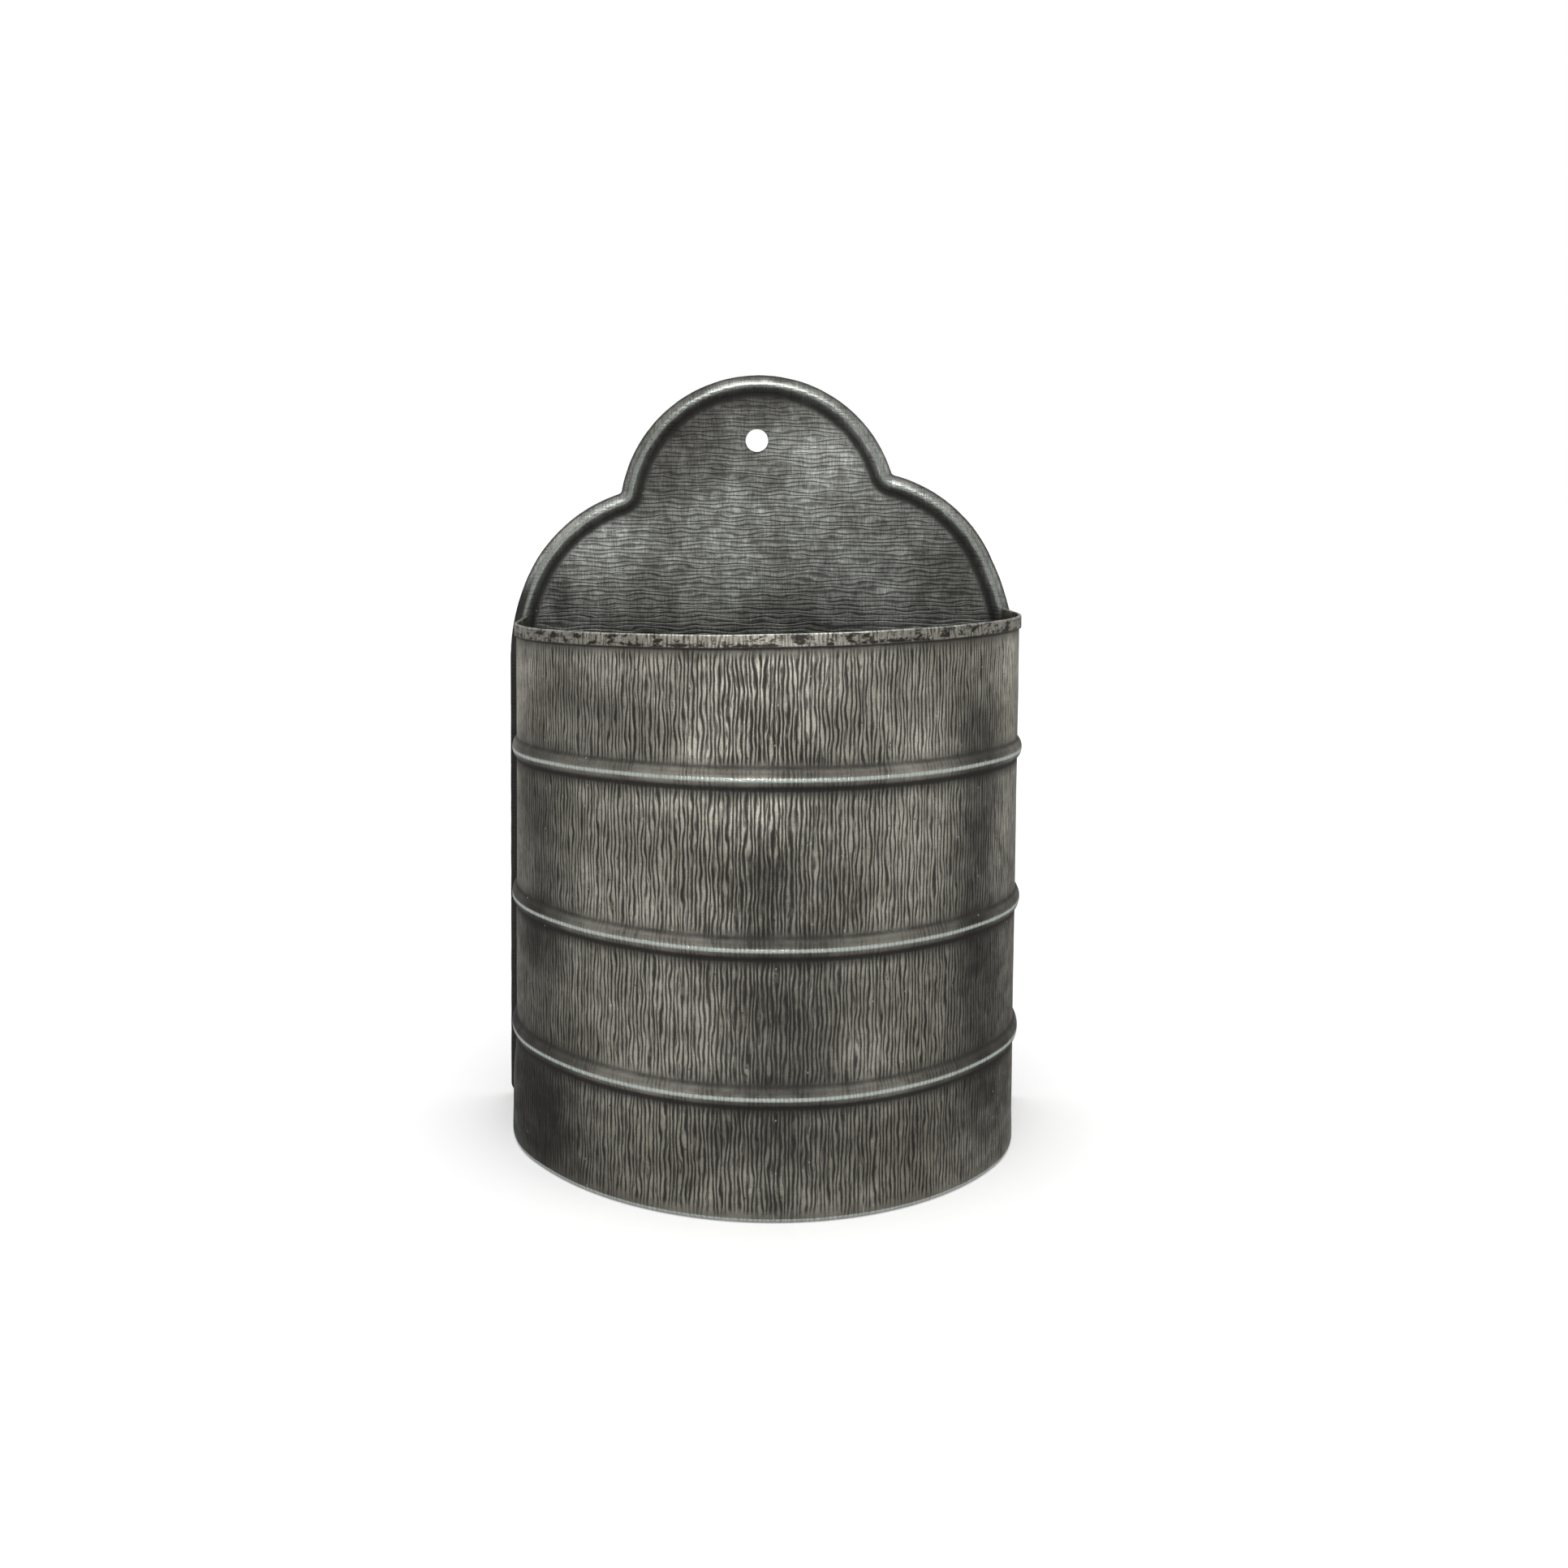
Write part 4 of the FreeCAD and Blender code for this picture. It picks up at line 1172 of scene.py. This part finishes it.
    # the metal is dulled where the grooves, the dirt and the painted shade lie
    soil_and_shade = b.larger(deep, dirty_and_shaded)
    b.tree.links.new(b.blend(soil_and_shade, look["metallic"], METALLIC_IN_DIRT_AND_SHADE), shader.inputs["Metallic"])
    rough = b.blend(cloud["Mottle"], look["rough"] - 0.05, look["rough"] + 0.07)
    rough = b.blend(rub_and_highlight, rough, look["rough"] - SMOOTHER_WHERE_RUBBED)
    b.tree.links.new(b.blend(soil_and_shade, rough, ROUGH_IN_DIRT_AND_SHADE), shader.inputs["Roughness"])
    relief = b.times(crinkle["Height"], creased, look["depth"])
    relief = b.plus(relief, b.times(skin["Height"], look["grain_depth"]))
    bump = b.put("ShaderNodeBump", {"Height": relief, "Strength": 0.8, "Distance": 0.0003})
    b.tree.links.new(bump.outputs["Normal"], shader.inputs["Normal"])
    print("material", name, len(b.tree.nodes), "nodes")
    return material


# %% Looks of the four finishes
shell_look = {
    "seed": 1.0,
    # creases: sizes in metres, the length in spacings, the width and pinch in parts of a spacing
    "spacing": 0.0017, "length": 9.0, "waver": 0.00020, "width": 0.30, "pinch": 1.8,
    "groove": 1.0, "ridge": 0.85, "depth": 0.9,
    # clouds and patina
    "cloud_size": 0.045, "cloud_stretch": 1.0, "mid": (0.302, 0.284, 0.234),
    "light": (0.52, 0.497, 0.43), "dark": (0.090, 0.082, 0.067), "mottle": 0.50, "stains": 0.25,
    # skin of the metal, wear with a painted highlight, dirt with painted shade, and marks
    "grain_size": 0.0004, "grain": 0.16, "weave": 0.08, "grain_depth": 0.10,
    "bright": (0.84, 0.93, 0.87), "rub_and_highlight": 1.0, "grime_and_shade_share": 0.93, "marks": 0.7,
    "metallic": 0.72, "rough": 0.44,
    "hem": (0.41, 0.385, 0.33), "hem_dark": (0.022, 0.018, 0.015)}
plate_look = {
    **shell_look, "hem": None, "seed": 3.0,
    "spacing": 0.0019, "length": 8.0, "waver": 0.00010, "width": 0.22, "pinch": 2.2,
    "groove": 0.50, "ridge": 0.16, "depth": 0.5,
    "cloud_size": 0.035, "mid": (0.170, 0.173, 0.158), "light": (0.32, 0.33, 0.307),
    "dark": (0.070, 0.070, 0.062), "mottle": 0.5, "stains": 0.15,
    "grain_size": 0.00062, "grain": 0.18, "weave": 0.30, "grain_depth": 0.22,
    "bright": (0.52, 0.57, 0.53), "rub_and_highlight": 0.75, "rough": 0.42}
floor_look = {**plate_look, "seed": 5.0, "cloud_size": 0.05, "groove": 0.3}
solder_look = {
    **plate_look, "seed": 7.0, "groove": 0.0, "ridge": 0.0, "cloud_size": 0.006,
    "mid": (0.30, 0.30, 0.29), "light": (0.48, 0.48, 0.46), "dark": (0.14, 0.135, 0.125),
    "rough": 0.34}
back_plate.data.materials.append(zinc_sheet("zinc_plate", plate_look))
front_shell.data.materials.append(zinc_sheet("zinc_shell", shell_look))
floor_pan.data.materials.append(zinc_sheet("zinc_floor", floor_look))
solder_grey = zinc_sheet("soft_solder", solder_look)
for seam in seams:
    seam.data.materials.append(solder_grey)

# %% [markdown]
# ## Floor and light
# The photograph is a plain studio shot: white paper and a broad soft light above and in front. The
# paper is a large plane. It is kept out of the metal's reflections, because in the photograph the
# underside of each bead stays dark, and it glows a little, so that it stays nearly white beside the
# dark metal. The lamp above is as wide as a large window, which keeps every shadow soft.

# %% Floor
PAPER_HALF = 30.0
floor_z = BASE_Z * MM
floor_mesh = bpy.data.meshes.new("studio_floor")
floor_mesh.from_pydata([(x * PAPER_HALF, y * PAPER_HALF, floor_z)
                        for x, y in ((-1, -1), (1, -1), (1, 1), (-1, 1))], [], [(0, 1, 2, 3)])
floor = bpy.data.objects.new("studio_floor", floor_mesh)
bpy.context.scene.collection.objects.link(floor)
floor.visible_diffuse = False
floor.visible_glossy = False
paper = bpy.data.materials.new("paper")
paper.use_nodes = True
paper_shader = paper.node_tree.nodes["Principled BSDF"]
b = Board(paper.node_tree)
fibre = b.noise(b.put("ShaderNodeNewGeometry").outputs["Position"], 3.0, 0.5, 600.0)
b.tree.links.new(b.tint(fibre, (0.90, 0.90, 0.90), (0.94, 0.94, 0.94)),
                 paper_shader.inputs["Base Color"])
for socket, value in (("Roughness", 0.9), ("Specular IOR Level", 0.0), ("Emission Strength", 0.09),
                      ("Emission Color", (1.0, 1.0, 1.0, 1.0))):
    paper_shader.inputs[socket].default_value = value
floor_mesh.materials.append(paper)
print("floor at", floor_z)

# %% Lights
ROOM_LIGHT = 0.40
ROOM_SEEN = 1.0
world = bpy.data.worlds.new("studio")
world.use_nodes = True
bpy.context.scene.world = world
b = Board(world.node_tree)
background = world.node_tree.nodes["Background"]
seen = b.put("ShaderNodeLightPath").outputs["Is Camera Ray"]
b.tree.links.new(b.blend(seen, ROOM_LIGHT, ROOM_SEEN), background.inputs["Strength"])
background.inputs["Color"].default_value = (1.0, 1.0, 1.0, 1.0)
middle_point = Vector((0.0, -0.06, -0.15))


def lamp(name, kind, place, power, **settings):
    """A lamp that looks at the middle of the planter."""
    data = bpy.data.lights.new(name, kind)
    data.energy = power
    for key, value in settings.items():
        setattr(data, key, value)
    light = bpy.data.objects.new(name, data)
    light.location = place
    light.visible_camera = False
    light.rotation_euler = (middle_point - Vector(place)).to_track_quat("-Z", "Y").to_euler()
    bpy.context.scene.collection.objects.link(light)
    print("lamp", name, power)


lamp("overhead", "SUN", (0.02, -0.34, 1.0), 2.4, angle=1.0)
lamp("front_softbox", "AREA", (-0.05, -1.6, -0.12), 4.7, shape="RECTANGLE", size=0.8, size_y=0.32)
bpy.context.scene.view_settings.view_transform = "Standard"
